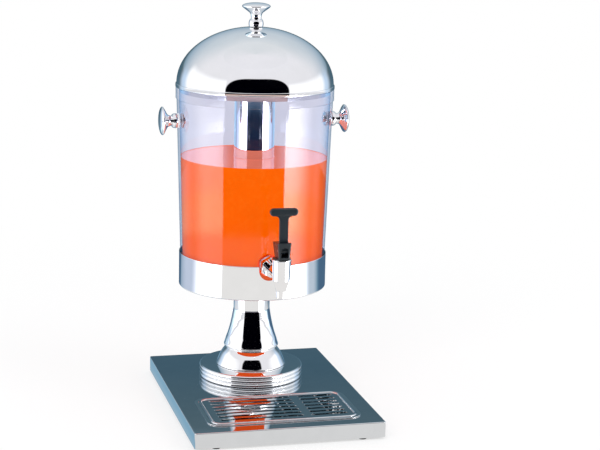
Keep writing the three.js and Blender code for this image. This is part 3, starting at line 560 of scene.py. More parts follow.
def noise(n, place, scale, detail=CLOUD_DETAIL):
    texture = n.add("ShaderNodeTexNoise", {
        "Vector": place, "Scale": scale, "Detail": detail, "Roughness": NOISE_ROUGHNESS})
    return texture.outputs["Fac"]


def bumped(n, height, strength, depth):
    return n.add("ShaderNodeBump", {"Strength": strength, "Distance": depth, "Height": height}).outputs[0]


def metal(name, tint, roughness, smear, bump, bump_scale):
    """Polished metal: cloudy smears in its roughness, and a very faint waviness of the surface."""
    material, n, output = new_material(name)
    place = object_place(n)
    cloud = n.math("ADD", noise(n, place, SMEAR_SCALE), noise(n, place, SCRATCH_SCALE, FINE_DETAIL))
    blend = n.times(cloud, 1 / 2)
    dark = tuple(value * METAL_DARK_SHARE for value in tint[:3]) + (1.0,)
    shader = n.add("ShaderNodeBsdfPrincipled", {
        "Base Color": n.mix(n.ramp(blend, *METAL_SHARES), dark, tint),
        "Metallic": 1.0,
        "Roughness": n.ramp(blend, *WIDE_SHARES, roughness, roughness + smear),
    })
    if bump:
        height = noise(n, place, bump_scale, WAVE_DETAIL)
        n.set(shader.inputs["Normal"], bumped(n, height, bump, METAL_WAVE_DEPTH))
    n.set(output.inputs["Surface"], shader.outputs[0])
    return material


def plastic(name, tint, roughness, grain, grain_scale):
    """Moulded plastic or rubber with a fine grain and a slight change of shade."""
    material, n, output = new_material(name)
    place = object_place(n)
    cloud = noise(n, place, PLASTIC_SCALE)
    light = tuple(min(1.0, value * PLASTIC_LIGHT_SHARE) for value in tint[:3]) + (1.0,)
    smooth, rough = (roughness * share for share in PLASTIC_ROUGHNESS_SHARES)
    shader = n.add("ShaderNodeBsdfPrincipled", {
        "Base Color": n.mix(n.ramp(cloud, *PLASTIC_SHARES), tint, light),
        "Roughness": n.ramp(cloud, *WIDE_SHARES, smooth, rough),
        "Normal": bumped(n, noise(n, place, grain_scale, FINE_DETAIL), grain, PLASTIC_GRAIN_DEPTH),
    })
    n.set(output.inputs["Surface"], shader.outputs[0])
    return material


def clear_plastic():
    """Clear moulded plastic: light passes straight on, a little tinted, and the outer skin reflects."""
    material, n, output = new_material("clear_plastic")
    place = object_place(n)
    cloud = noise(n, place, TANK_SCALE)
    tint = n.mix(n.ramp(cloud, *TANK_SHARES), TANK_TINT, TANK_TINT_LIGHT)
    facing = n.add("ShaderNodeLayerWeight", {"Blend": 0.5}).outputs["Facing"]
    tint = n.mix(n.ramp(facing, *TANK_EDGE_SHARES), tint, TANK_EDGE_TINT)
    through = n.add("ShaderNodeBsdfTransparent", {"Color": tint})
    wave = bumped(n, noise(n, place, TANK_WAVE_SCALE, WAVE_DETAIL), TANK_WAVE, TANK_WAVE_DEPTH)
    mirror = n.add("ShaderNodeBsdfGlossy", {
        "Color": WHITE, "Roughness": n.ramp(cloud, *WIDE_SHARES, *TANK_ROUGHNESS), "Normal": wave})
    fresnel = n.add("ShaderNodeFresnel", {"IOR": TANK_IOR, "Normal": wave})
    front = n.math("SUBTRACT", 1.0, n.add("ShaderNodeNewGeometry").outputs["Backfacing"])
    share = n.times(fresnel.outputs[0], front)
    n.set(output.inputs["Surface"], n.shader_mix(share, through.outputs[0], mirror.outputs[0]))
    return material


def juice_material(name, drink_tones, specular, roughness, glow):
    """Orange drink: dense, a little deeper in colour low down, with fine pulp. Its glow is painted light: the
    drink gives off light in its own tones, so that it reads as more brightly lit than the lamps make it.
    """
    material, n, output = new_material(name)
    place = object_place(n)
    height = n.add("ShaderNodeSeparateXYZ", {0: place}).outputs["Z"]
    body = n.mix(n.ramp(height, tank_low.z, tank_low.z + JUICE_FADE), *drink_tones)
    pulp = n.ramp(noise(n, place, PULP_SCALE, PULP_DETAIL), *PULP_SHARES)
    shader = n.add("ShaderNodeBsdfPrincipled", {
        "Base Color": n.mix(n.times(pulp, PULP_SHARE), body, PULP_TONE),
        "Roughness": n.ramp(pulp, 0.0, 1.0, roughness, roughness + PULP_ROUGHNESS),
        "Specular IOR Level": specular,
        # Painted light: the drink gives off light in its own tones.
        "Emission Color": body,
        "Emission Strength": glow,
    })
    n.set(output.inputs["Surface"], shader.outputs[0])
    return material


# Metals have a tint, roughness, smear, waviness and its scale
METALS = {
    "mirror_steel": (colour(226, 229, 232), 0.03, 0.03, 0.02, 8.0),
    "polished_steel": (colour(248, 249, 250), 0.02, 0.03, 0.02, 10.0),
    "chrome": (colour(249, 249, 250), 0.015, 0.02, 0.0, 0.0),
    "plain_steel": (colour(214, 216, 219), 0.24, 0.14, 0.1, 400.0),
}
# Plastics have a tint, roughness, grain and its scale
PLASTICS = {
    "black_plastic": (colour(22, 30, 36), 0.3, 0.12, 900.0),
    "board": (colour(118, 121, 124), 0.7, 0.25, 500.0),
    "black_rubber": (colour(28, 28, 30), 0.75, 0.3, 700.0),
    "silicone": (colour(226, 226, 228), 0.5, 0.12, 900.0),
}
# The drink and its lit top have two tones, a specular level, a roughness and a glow; the glow is painted
# light, and the top's lighter tone is painted sheen
DRINKS = {
    "juice": (JUICE_TONES, 0.0, 0.4, JUICE_PAINTED_GLOW),
    "juice_surface": ((LIT_TOP_TONE, LIT_TOP_TONE), 0.62, 0.03, LIT_TOP_PAINTED_GLOW),
}


def make_materials():
    look = {"clear_plastic": clear_plastic()}
    for table, make in ((METALS, metal), (PLASTICS, plastic), (DRINKS, juice_material)):
        for name, values in table.items():
            look[name] = make(name, *values)
    return look


# Mesh helpers

def smoothed(mesh):
    mesh.shade_smooth()
    mesh.set_sharp_from_angle(angle=SMOOTH_ANGLE)


def finish_mesh(name, mesh, material):
    piece = add_object(name, mesh)
    mesh.materials.clear()
    mesh.materials.append(material)
    smoothed(mesh)
    return piece


def mesh_from(build, name):
    mesh = bpy.data.meshes.new(name)
    build.to_mesh(mesh)
    build.free()
    return mesh


def closed_mesh(build, name):
    bmesh.ops.recalc_face_normals(build, faces=build.faces)
    return mesh_from(build, name)


def join_rings(build, low, high):
    """Faces between two closed rows of points."""
    for step in range(len(low)):
        after = (step + 1) % len(low)
        build.faces.new((low[step], low[after], high[after], high[step]))


def applied(piece):
    """Keeps what the piece's modifiers make of it as its own mesh."""
    graph = bpy.context.evaluated_depsgraph_get()
    result = bpy.data.meshes.new_from_object(piece.evaluated_get(graph))
    piece.modifiers.clear()
    piece.data = result
    return result


def turned_mesh(name, outline, around=ROUND):
    """A closed turned mesh about Z. Its outline is (radius, height) pairs, and closes or meets the axis."""
    build = bmesh.new()
    rings = []
    for radius, height in outline:
        if radius == 0:
            rings.append([build.verts.new((0.0, 0.0, height))])
            continue
        ring = []
        for step in range(around):
            angle = 2 * math.pi * step / around
            ring.append(build.verts.new((radius * math.cos(angle), radius * math.sin(angle), height)))
        rings.append(ring)
    pairs = list(zip(rings, rings[1:]))
    if len(rings[0]) > 1 or len(rings[-1]) > 1:
        pairs.append((rings[-1], rings[0]))
    for low, high in pairs:
        for step in range(around):
            after = (step + 1) % around
            corners = [low[step % len(low)], low[after % len(low)]]
            corners += [high[after % len(high)], high[step % len(high)]]
            unique = list(dict.fromkeys(corners))
            if len(unique) > 2:
                build.faces.new(unique)
    return closed_mesh(build, name)


def turned(name, outline, material, place=(0.0, 0.0, 0.0), turn=None, around=ROUND):
    mesh = turned_mesh(name, outline, around)
    move = Matrix.Translation(place)
    mesh.transform(move @ turn if turn else move)
    return finish_mesh(name, mesh, material)


def arc(centre_radius, centre_height, radius, start, end, steps=6):
    """Points of an arc in an outline, with the angles in degrees from outwards to upwards."""
    points = []
    for step in range(steps + 1):
        angle = math.radians(start + (end - start) * step / steps)
        points.append((centre_radius + radius * math.cos(angle), centre_height + radius * math.sin(angle)))
    return points


def rod_mesh(radius, start, end, around=TOOL_ROUND):
    """A plain round tool from start to end, for cuts and joins."""
    start, end = Vector(start), Vector(end)
    length = (end - start).length
    mesh = turned_mesh("tool", [(0.0, 0.0), (radius, 0.0), (radius, length), (0.0, length)], around)
    turn = (end - start).to_track_quat("Z", "Y").to_matrix().to_4x4()
    mesh.transform(Matrix.Translation(start) @ turn)
    return mesh


def combine(piece, mesh, operation):
    """Cuts a tool mesh out of a piece, or joins it to the piece, and keeps the result as the piece's mesh."""
    tool = add_object("tool", mesh)
    modifier = piece.modifiers.new("combine", "BOOLEAN")
    modifier.operation = operation
    modifier.solver = "EXACT"
    modifier.object = tool
    materials = list(piece.data.materials)
    result = applied(piece)
    result.materials.clear()
    for material in materials:
        result.materials.append(material)
    bpy.data.objects.remove(tool)
    smoothed(result)


def cut(piece, mesh):
    combine(piece, mesh, "DIFFERENCE")


def join(piece, mesh):
    combine(piece, mesh, "UNION")


def prism_mesh(outline, start, end, axis="Z"):
    """A straight solid of an outline. Along Z the outline is in x, y, and along Y it is in x, z."""
    build = bmesh.new()
    near, far = [], []
    for first, second in outline:
        if axis == "Z":
            near.append(build.verts.new((first, second, start)))
            far.append(build.verts.new((first, second, end)))
        else:
            near.append(build.verts.new((first, start, second)))
            far.append(build.verts.new((first, end, second)))
    build.faces.new(near)
    build.faces.new(list(reversed(far)))
    join_rings(build, near, far)
    return closed_mesh(build, "prism")


def bevelled(piece, width, segments=3, angle=BEVEL_ANGLE):
    """Rounds the sharp edges of a piece, and keeps the result as its mesh."""
    modifier = piece.modifiers.new("bevel", "BEVEL")
    modifier.width = width
    modifier.segments = segments
    modifier.limit_method = "ANGLE"
    modifier.angle_limit = math.radians(angle)
    modifier.harden_normals = False
    smoothed(applied(piece))


def rounded_rectangle(half_x, half_y, corner, centre_y=0.0, steps=8):
    points = []
    for quarter, (sx, sy) in enumerate(((1, 1), (-1, 1), (-1, -1), (1, -1))):
        for step in range(steps + 1):
            angle = math.pi / 2 * (quarter + step / steps)
            x = sx * (half_x - corner) + corner * math.cos(angle)
            y = centre_y + sy * (half_y - corner) + corner * math.sin(angle)
            points.append((x, y))
    return points


def true_normals(piece):
    """Lets the large faces set the direction of shading, so that long flat stretches mirror as flat ones."""
    modifier = piece.modifiers.new("normals", "WEIGHTED_NORMAL")
    modifier.mode = "FACE_AREA"
    modifier.weight = NORMAL_WEIGHT
    modifier.keep_sharp = True
    applied(piece)


def settle(piece, body, slot, *replaced):
    true_normals(piece)
    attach(piece, body)
    if replaced:
        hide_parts(*replaced)
    return piece


def turned_piece(name, outline, look, node):
    """A polished piece of the stand, turned round the tank's axis, that takes the place of a CAD node."""
    settle(turned(name, outline, look["polished_steel"], ON_AXIS), "stand", "polished_steel", node)


# Base: folded cover and feet. The tools of cuts run past the surface by OVERRUN.

BASE_CORNER = 2.5 * MM
BASE_EDGE = 1.2 * MM
BASE_SHEET = 1.2 * MM
FOOT_ROUND = 0.9 * MM
FOOT_RECESS = 3.8 * MM
FOOT_RECESS_DEPTH = 1.8 * MM
ROD_HOLE = 4.3 * MM
FOOT_BORE = ROD_HOLE / 2.4
TRAY_CORNER = 20 * MM
TRAY_OPENING_INSET = 3.5 * MM
CUT_CORNER = 11 * MM
OVERRUN = 2 * MM


def tray_outline(inset, corner=None):
    low, high = box_of("drip_tray")
    half = (high - low) / 2
    centre = middle_of("drip_tray").y
    corner = TRAY_CORNER - inset if corner is None else corner
    return rounded_rectangle(half.x - inset, half.y - inset, corner, centre)


def make_base(look):
    low, high = box_of("base_cover")
    half = (high - low) / 2
    block = prism_mesh(rounded_rectangle(half.x, half.y, BASE_CORNER), low.z - BASE_EDGE, high.z)
    cover = finish_mesh("base_shell", block, look["mirror_steel"])
    bevelled(cover, BASE_EDGE, 4)
    inner = rounded_rectangle(half.x - BASE_SHEET, half.y - BASE_SHEET, BASE_CORNER - BASE_SHEET)
    cut(cover, prism_mesh(inner, low.z - OVERRUN, high.z - BASE_SHEET))
    whole = rounded_rectangle(half.x + OVERRUN, half.y + OVERRUN, BASE_CORNER)
    cut(cover, prism_mesh(whole, low.z - 2 * OVERRUN, low.z))
    cut(cover, prism_mesh(tray_outline(TRAY_OPENING_INSET, CUT_CORNER), low.z, high.z + OVERRUN))
    rod = (AXIS.x, AXIS.y)
    cut(cover, rod_mesh(ROD_HOLE, (*rod, low.z), (*rod, high.z + OVERRUN)))
    settle(cover, "stand", "mirror_steel", "base_cover")
    for corner in ("front_left", "front_right", "back_left", "back_right"):
        node = f"foot_{corner}"
        low, high = box_of(node)
        centre = (low + high) / 2
        radius = (high.x - low.x) / 2
        recess = low.z + FOOT_RECESS_DEPTH
        outline = [(FOOT_BORE, recess), (FOOT_RECESS, recess), (FOOT_RECESS, low.z)]
        outline += arc(radius - FOOT_ROUND, low.z + FOOT_ROUND, FOOT_ROUND, -90, 0)
        outline += [(radius, high.z), (FOOT_BORE, high.z)]
        place = (centre.x, centre.y, 0.0)
        foot = turned(f"rubber_{node}", outline, look["black_rubber"], place, around=FINE_ROUND)
        settle(foot, "stand", "black_rubber", node)


# Ring, column and collar

RING_RADIUS = 74.8 * MM
RING_RIBS = 3
RIB_DEPTH = 2.6 * MM
RIB_PEAK_SHARE = 0.36
RIB_STEPS = 16
RING_SHEET = 1.5 * MM
COLUMN_FOOT = 50.5 * MM
COLUMN_NECK = 26.0 * MM
COLUMN_SHEET = 1.5 * MM
COLUMN_SHARES = [
    (0.0, 0.982), (0.004, 0.997), (0.009, 0.998), (0.02, 0.972), (0.042, 0.922), (0.068, 0.863),
    (0.093, 0.806), (0.114, 0.757), (0.131, 0.716), (0.147, 0.672), (0.161, 0.627), (0.178, 0.563),
    (0.192, 0.504), (0.204, 0.453), (0.2105, 0.433), (0.217, 0.445), (0.222, 0.482), (0.229, 0.527),
    (0.239, 0.543),
    (0.25, 0.539), (0.265, 0.512), (0.325, 0.425), (0.375, 0.34), (0.43, 0.262), (0.48, 0.2), (0.53, 0.147),
    (0.58, 0.098), (0.63, 0.055), (0.66, 0.03), (0.68, 0.0135), (0.69, 0.006), (0.7, 0.0015), (0.715, 0.0),
    (1.0, 0.0),
]
COLUMN_INSIDE_SHARES = [
    (1.0, 0.0), (0.715, 0.0), (0.53, 0.14), (0.325, 0.41), (0.25, 0.46), (0.2105, 0.36), (0.147, 0.6),
    (0.0, 0.93),
]
COLLAR_RADIUS = 105.3 * MM
COLLAR_SHEET = 1.2 * MM
COLLAR_FLOOR = 1.5 * MM
COLLAR_EDGE = 2 * MM
NOTCH_RADIUS = 14.2 * MM
NOTCH_DEPTH = 19.6 * MM


def smooth_outline(points, steps=4):
    """Catmull-Rom curve through the points."""
    curve = []
    for index in range(len(points) - 1):
        before = Vector(points[max(index - 1, 0)])
        start = Vector(points[index])
        end = Vector(points[index + 1])
        after = Vector(points[min(index + 2, len(points) - 1)])
        for step in range(steps):
            share = step / steps
            first = 0.5 * (end - before) * share
            second = (before - 2.5 * start + 2 * end - 0.5 * after) * share ** 2
            third = (1.5 * start - 1.5 * end + 0.5 * after - 0.5 * before) * share ** 3
            curve.append(tuple(start + first + second + third))
    curve.append(tuple(points[-1]))
    return curve


def make_ring(look):
    low, high = box_of("ring_base")
    pitch = (high.z - low.z) / RING_RIBS
    valley = RING_RADIUS - RIB_DEPTH
    outline = []
    for rib in range(RING_RIBS):
        for step in range(RIB_STEPS):
            angle = math.pi * step / RIB_STEPS
            reach = RIB_PEAK_SHARE if step < RIB_STEPS / 2 else 1 - RIB_PEAK_SHARE
            height = low.z + pitch * (rib + RIB_PEAK_SHARE - reach * math.cos(angle))
            outline.append((valley + RIB_DEPTH * math.sin(angle), height))
    inner = valley - RING_SHEET
    outline += [(valley, high.z), (ROD_HOLE, high.z), (ROD_HOLE, high.z - RING_SHEET)]
    outline += [(inner, high.z - RING_SHEET), (inner, low.z)]
    turned_piece("ribbed_ring", outline, look, "ring_base")


def make_column(look):
    low, high = box_of("column")
    height = high.z - low.z
    reach = COLUMN_FOOT - COLUMN_NECK
    outer = [(COLUMN_NECK + reach * r, low.z + height * z) for z, r in COLUMN_SHARES]
    inner = [(COLUMN_NECK + reach * r - COLUMN_SHEET, low.z + height * z) for z, r in COLUMN_INSIDE_SHARES]
    turned_piece("flared_column", smooth_outline(outer) + inner, look, "column")


def make_collar(look):
    low, high = box_of("collar")
    inside = COLLAR_RADIUS - COLLAR_SHEET
    outline = [(ROD_HOLE, low.z)]
    outline += arc(COLLAR_RADIUS - COLLAR_EDGE, low.z + COLLAR_EDGE, COLLAR_EDGE, -90, 0)
    roll = COLLAR_SHEET / 2
    outline += arc(COLLAR_RADIUS - roll, high.z - roll, roll, 0, 180, 8)
    outline += [(inside, low.z + COLLAR_FLOOR), (ROD_HOLE, low.z + COLLAR_FLOOR)]
    collar = turned("collar_drum", outline, look["polished_steel"], ON_AXIS, around=WIDE_ROUND)
    centre = high.z - NOTCH_DEPTH + NOTCH_RADIUS
    notch = [(AXIS.x + NOTCH_RADIUS, high.z + OVERRUN), (AXIS.x - NOTCH_RADIUS, high.z + OVERRUN)]
    notch += arc(AXIS.x, centre, NOTCH_RADIUS, 180, 360, 32)
    front = AXIS.y - COLLAR_RADIUS - OVERRUN
    cut(collar, prism_mesh(notch, front, AXIS.y - COLLAR_RADIUS / 2, "Y"))
    settle(collar, "stand", "polished_steel", "collar")


# Tank, juice and ice tube

TANK_WALL = 3.7 * MM
TANK_LOW_RADIUS = 103.7 * MM
TANK_TOP_RADIUS = 110.2 * MM
BAND_RADIUS = 111.6 * MM
BAND_HEIGHT = 16.5 * MM
TANK_SKIRT = 15 * MM
TANK_FLOOR = 4 * MM
STUD_HOLE = 4.3 * MM
SCREW_HOLE = 2.8 * MM
SHANK_HOLE = 7.8 * MM
BAND_LOW = tank_high.z - BAND_HEIGHT
FLOOR_LOW = tank_low.z + TANK_SKIRT
FLOOR_TOP = FLOOR_LOW + TANK_FLOOR
JUICE_TOP = 344.6 * MM
JUICE_GAP = 0.3 * MM
JUICE_RIM = 1.2 * MM
JUICE_LEVEL_SHARE = 0.9
SHANK_SPACE = 2 * SHANK_HOLE
SHANK_END_GAP = 0.5 * MM
BAND_FOOT_SHARES = ((0.6, 0.4), (0.0, 1.2))
TOOL_REACH = 1.2 * BAND_RADIUS
ICE_RADIUS = 28.5 * MM
ICE_LIP = 1.2 * MM
ICE_SHEET = 0.8 * MM
ICE_STUD = 4 * MM
ICE_LENGTH = 248 * MM


def tank_radius(height):
    share = max(0.0, (height - collar_high.z) / (BAND_LOW - collar_high.z))
    return TANK_LOW_RADIUS + (TANK_TOP_RADIUS - TANK_LOW_RADIUS) * share


def make_tank(look):
    inside = tank_radius(BAND_LOW) - TANK_WALL
    floor_radius = tank_radius(FLOOR_TOP) - TANK_WALL
    top = tank_high.z
    edge = TANK_WALL / 3
    outline = [(STUD_HOLE, FLOOR_LOW), (TANK_LOW_RADIUS - TANK_WALL, FLOOR_LOW)]
    outline += [(TANK_LOW_RADIUS - TANK_WALL, tank_low.z), (TANK_LOW_RADIUS, tank_low.z)]
    outline += [(TANK_LOW_RADIUS, collar_high.z), (tank_radius(BAND_LOW), BAND_LOW)]
    foot = [(BAND_RADIUS - edge * inward, BAND_LOW + edge * upward) for inward, upward in BAND_FOOT_SHARES]
    outline += smooth_outline(foot, 3)
    outline += arc(BAND_RADIUS - edge, top - edge, edge, 0, 90)
    outline += arc(inside + edge, top - edge, edge, 90, 180)
    outline += [(inside, BAND_LOW), (floor_radius, FLOOR_TOP + TANK_WALL)]
    outline += arc(floor_radius - TANK_WALL, FLOOR_TOP + TANK_WALL, TANK_WALL, 0, -90)
    outline += [(STUD_HOLE, FLOOR_TOP)]
    tank = turned("tank_wall", outline, look["clear_plastic"], ON_AXIS, around=WIDE_ROUND)
    knob_z = middle_of("carry_knob_right").z
    side = Vector((TOOL_REACH, 0.0, 0.0))
    centre = Vector((AXIS.x, AXIS.y, knob_z))
    cut(tank, rod_mesh(SCREW_HOLE, centre - side, centre + side, THIN_ROUND))
    centre = Vector((AXIS.x, AXIS.y, SHANK_Z))
    front = Vector((0.0, -TOOL_REACH, 0.0))
    cut(tank, rod_mesh(SHANK_HOLE, centre, centre + front, SHANK_ROUND))
    settle(tank, "stand", "clear_plastic", "tank")


def make_juice(look):
    tube = ICE_RADIUS + JUICE_GAP
    low = FLOOR_TOP + JUICE_GAP
    floor_radius = tank_radius(FLOOR_TOP) - TANK_WALL - JUICE_GAP
    top_radius = tank_radius(JUICE_TOP) - TANK_WALL - JUICE_GAP
    rim = JUICE_RIM
    outline = [(tube, low)]
    outline += arc(floor_radius - TANK_WALL, low + TANK_WALL, TANK_WALL, -90, 0)
    outline += [(top_radius, JUICE_TOP + rim / 2), (top_radius - rim / 3, JUICE_TOP + rim / 4)]
    outline += [(top_radius - rim, JUICE_TOP), (tube + rim, JUICE_TOP), (tube, JUICE_TOP + rim / 3)]
    juice = turned("juice", outline, look["juice"], ON_AXIS, around=WIDE_ROUND)
    start = Vector((AXIS.x, box_of("tap_body")[1].y + SHANK_END_GAP, SHANK_Z))
    end = Vector((AXIS.x, AXIS.y, SHANK_Z)) + Vector((0.0, -TOOL_REACH, 0.0))
    cut(juice, rod_mesh(SHANK_SPACE, start, end, SHANK_ROUND))
    # The level faces take the lit top's material, whose lighter tone is painted sheen.
    juice.data.materials.append(look["juice_surface"])
    for face in juice.data.polygons:
        if face.normal.z > JUICE_LEVEL_SHARE:
            face.material_index = 1
    true_normals(juice)
    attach(juice, "stand")


def make_ice_tube(look):
    low, high = box_of("ice_tube")
    foot = high.z - ICE_LENGTH
    top = high.z
    outline = [(0.0, low.z), (ICE_STUD, low.z), (ICE_STUD, foot)]
    outline += arc(ICE_RADIUS - ICE_LIP, foot + ICE_LIP, ICE_LIP, -90, 0)
    inside = ICE_RADIUS - ICE_SHEET
    outline += [(ICE_RADIUS, top - ICE_LIP)]
    outline += arc(ICE_RADIUS + ICE_LIP / 3, top - ICE_LIP / 2, ICE_LIP / 2, -90, 90)
    outline += [(inside, top), (inside, foot + ICE_SHEET), (0.0, foot + ICE_SHEET)]
    turned_piece("ice_cylinder", outline, look, "ice_tube")


# Lid and knobs

LID_RADIUS = 112 * MM
LID_RIM = 5.2 * MM
LID_STEP = 1.3 * MM
LID_BEAD = 0.8 * MM
LID_SHEET = 1.0 * MM
LID_HOLE = 2.8 * MM
LID_GAP = 0.3 * MM
LID_STEPS = 48
SPIGOT_RADIUS = 106 * MM


def make_lid(look):
    base = tank_high.z + LID_GAP
    dome_low = base + LID_RIM
    rise = lid_high.z - dome_low
    dome_radius = LID_RADIUS - LID_STEP
    outline = arc(LID_RADIUS - LID_BEAD, base + LID_BEAD, LID_BEAD, -90, 0)
    outline += arc(LID_RADIUS - LID_BEAD, dome_low - LID_BEAD, LID_BEAD, 0, 90)
    last = math.acos(LID_HOLE / dome_radius)
    for step in range(LID_STEPS + 1):
        angle = last * step / LID_STEPS
        outline.append((dome_radius * math.cos(angle), dome_low + rise * math.sin(angle)))
    for step in range(LID_STEPS, -1, -1):
        angle = last * step / LID_STEPS
        radius = (dome_radius - LID_SHEET) * math.cos(angle)
        outline.append((max(radius, LID_HOLE), dome_low + (rise - LID_SHEET) * math.sin(angle)))
    inner = SPIGOT_RADIUS - LID_SHEET
    outline += [(LID_RADIUS - 2 * LID_STEP, base + LID_SHEET), (inner, base + LID_SHEET), (inner, lid_low.z)]
    outline += [(SPIGOT_RADIUS, lid_low.z), (SPIGOT_RADIUS, base)]
    lid = turned("lid_shell", outline, look["polished_steel"], ON_AXIS, around=WIDE_ROUND)
    settle(lid, "lid", "polished_steel", "lid_dome")


# The knobs in millimetres: the ball ends where the neck's flare starts
LID_KNOB = {"length": 33.4, "foot": 10.4, "ball": 10.8, "neck": 7.3, "rim": 20.0, "rim_at": 28.4}
CARRY_KNOB = {"length": 25.3, "foot": 10.4, "ball": 7.2, "neck": 7.4, "rim": 19.9, "rim_at": 20.4}
KNOB_BORE = 2.8
KNOB_THREAD = 13.0
KNOB_STEPS = 14
KNOB_BULGE_SHARE = 0.37
FLARE_SHARES = [
    (0.0, 0.0), (0.22, 0.01), (0.39, 0.08), (0.5, 0.19), (0.61, 0.38), (0.73, 0.61), (0.84, 0.82),
    (0.93, 0.96), (1.0, 1.0),
]


def knob_outline(knob):
    """A turned knob from its foot up: a threaded hole, half a ball, a trumpet flare and a bulging face."""
    points = [(0.0, KNOB_THREAD), (KNOB_BORE, KNOB_THREAD), (KNOB_BORE, 0.0)]
    for step in range(KNOB_STEPS + 1):
        share = step / KNOB_STEPS
        bulge = math.sqrt(max(0.0, 1 - ((share - KNOB_BULGE_SHARE) / (1 - KNOB_BULGE_SHARE)) ** 2))
        radius = knob["neck"] + (knob["foot"] - knob["neck"]) * bulge
        points.append((radius, knob["ball"] * share))
    reach = knob["rim"] - knob["neck"]
    rise = knob["rim_at"] - knob["ball"]
    flare = [(knob["neck"] + reach * r, knob["ball"] + rise * z) for z, r in FLARE_SHARES]
    points += smooth_outline(flare)[:-1]
    for step in range(KNOB_STEPS):
        angle = math.pi / 2 * step / KNOB_STEPS
        height = knob["rim_at"] + (knob["length"] - knob["rim_at"]) * math.sin(angle)
        points.append((knob["rim"] * math.cos(angle), height))
    points.append((0.0, knob["length"]))
    return [(radius * MM, height * MM) for radius, height in points]


def make_knobs(look):
    place = (AXIS.x, AXIS.y, box_of("lid_knob")[0].z)
    knob = turned("lid_pull", knob_outline(LID_KNOB), look["chrome"], place, around=SMALL_ROUND)
    settle(knob, "lid", "chrome", "lid_knob")
    for name, side in (("right", 1), ("left", -1)):
        node = f"carry_knob_{name}"
        low, high = box_of(node)
        foot = low.x if side > 0 else high.x
        place = (foot, AXIS.y, (low.z + high.z) / 2)
        turn = Matrix.Rotation(side * math.pi / 2, 4, "Y")
        outline = knob_outline(CARRY_KNOB)
        knob = turned(f"carry_pull_{name}", outline, look["chrome"], place, turn, around=SMALL_ROUND)
        settle(knob, "stand", "chrome", node)


# Tap: barrel, nozzle and shank, hex nut, return spring, bonnet and lever

BARREL_RADIUS = 12.8 * MM
BARREL_LOW_RADIUS = 11.7 * MM
BARREL_LIP = 0.8 * MM
BARREL_LIP_HEIGHT = 2.2 * MM
BARREL_DROP = 4 * MM
TAPER_DROP = 18.5 * MM
NOZZLE_RADIUS = 6.7 * MM
NOZZLE_BORE = 4.9 * MM
NOZZLE_ROUND = 0.4 * MM
TAPER_FOOT_REACH = 1.1 * MM
TAPER_FOOT_RISE = 3.2 * MM
TAPER_HEAD_REACH = 1.2 * MM
TAPER_HEAD_DROP = 2.6 * MM
SHOULDER_RISE = 0.8 * MM
CHAMBER_RADIUS = 9.8 * MM
CHAMBER_DROP = 4.5 * MM
SEAT_DROP = 10.5 * MM
SHANK_RADIUS = 7.5 * MM
SHANK_BORE = 4 * MM


def make_tap_body(look):
    low, high = box_of("tap_body")
    top = high.z
    lip_low = top - BARREL_LIP_HEIGHT
    outer = [(NOZZLE_BORE, low.z)]
    outer += arc(NOZZLE_RADIUS - NOZZLE_ROUND, low.z + NOZZLE_ROUND, NOZZLE_ROUND, -90, 0, 3)
    waist = SHANK_Z - TAPER_DROP
    shoulder = SHANK_Z - BARREL_DROP
    outer += smooth_outline([
        (NOZZLE_RADIUS, waist), (NOZZLE_RADIUS + TAPER_FOOT_REACH, waist + TAPER_FOOT_RISE),
        (BARREL_LOW_RADIUS - TAPER_HEAD_REACH, shoulder - TAPER_HEAD_DROP),
        (BARREL_LOW_RADIUS, shoulder + SHOULDER_RISE)], 6)
    outer += [(BARREL_RADIUS, lip_low)]
    outer += arc(BARREL_RADIUS, (lip_low + top) / 2, BARREL_LIP, -60, 60, 8)
    outer += [(BARREL_RADIUS - BARREL_LIP / 4, top)]
    inner = [(CHAMBER_RADIUS, top), (CHAMBER_RADIUS, SHANK_Z - CHAMBER_DROP)]
    inner += [(NOZZLE_BORE, SHANK_Z - SEAT_DROP)]
    body = turned("tap_barrel", outer + inner, look["chrome"], (TAP.x, TAP.y, 0.0), around=SMALL_ROUND)
    shank_start = (TAP.x, TAP.y + (BARREL_RADIUS + CHAMBER_RADIUS) / 2, SHANK_Z)
    join(body, rod_mesh(SHANK_RADIUS, shank_start, (TAP.x, high.y, SHANK_Z), FINE_ROUND))
    cut(body, rod_mesh(SHANK_BORE, (TAP.x, TAP.y, SHANK_Z), (TAP.x, high.y + OVERRUN, SHANK_Z)))
    settle(body, "stand", "chrome", "tap_body")


NUT_CHAMFER_SLOPE_SHARE = 0.55
NUT_EDGE = 0.25 * MM
NUT_EDGE_ANGLE = 35.0
NUT_SIDES = 6


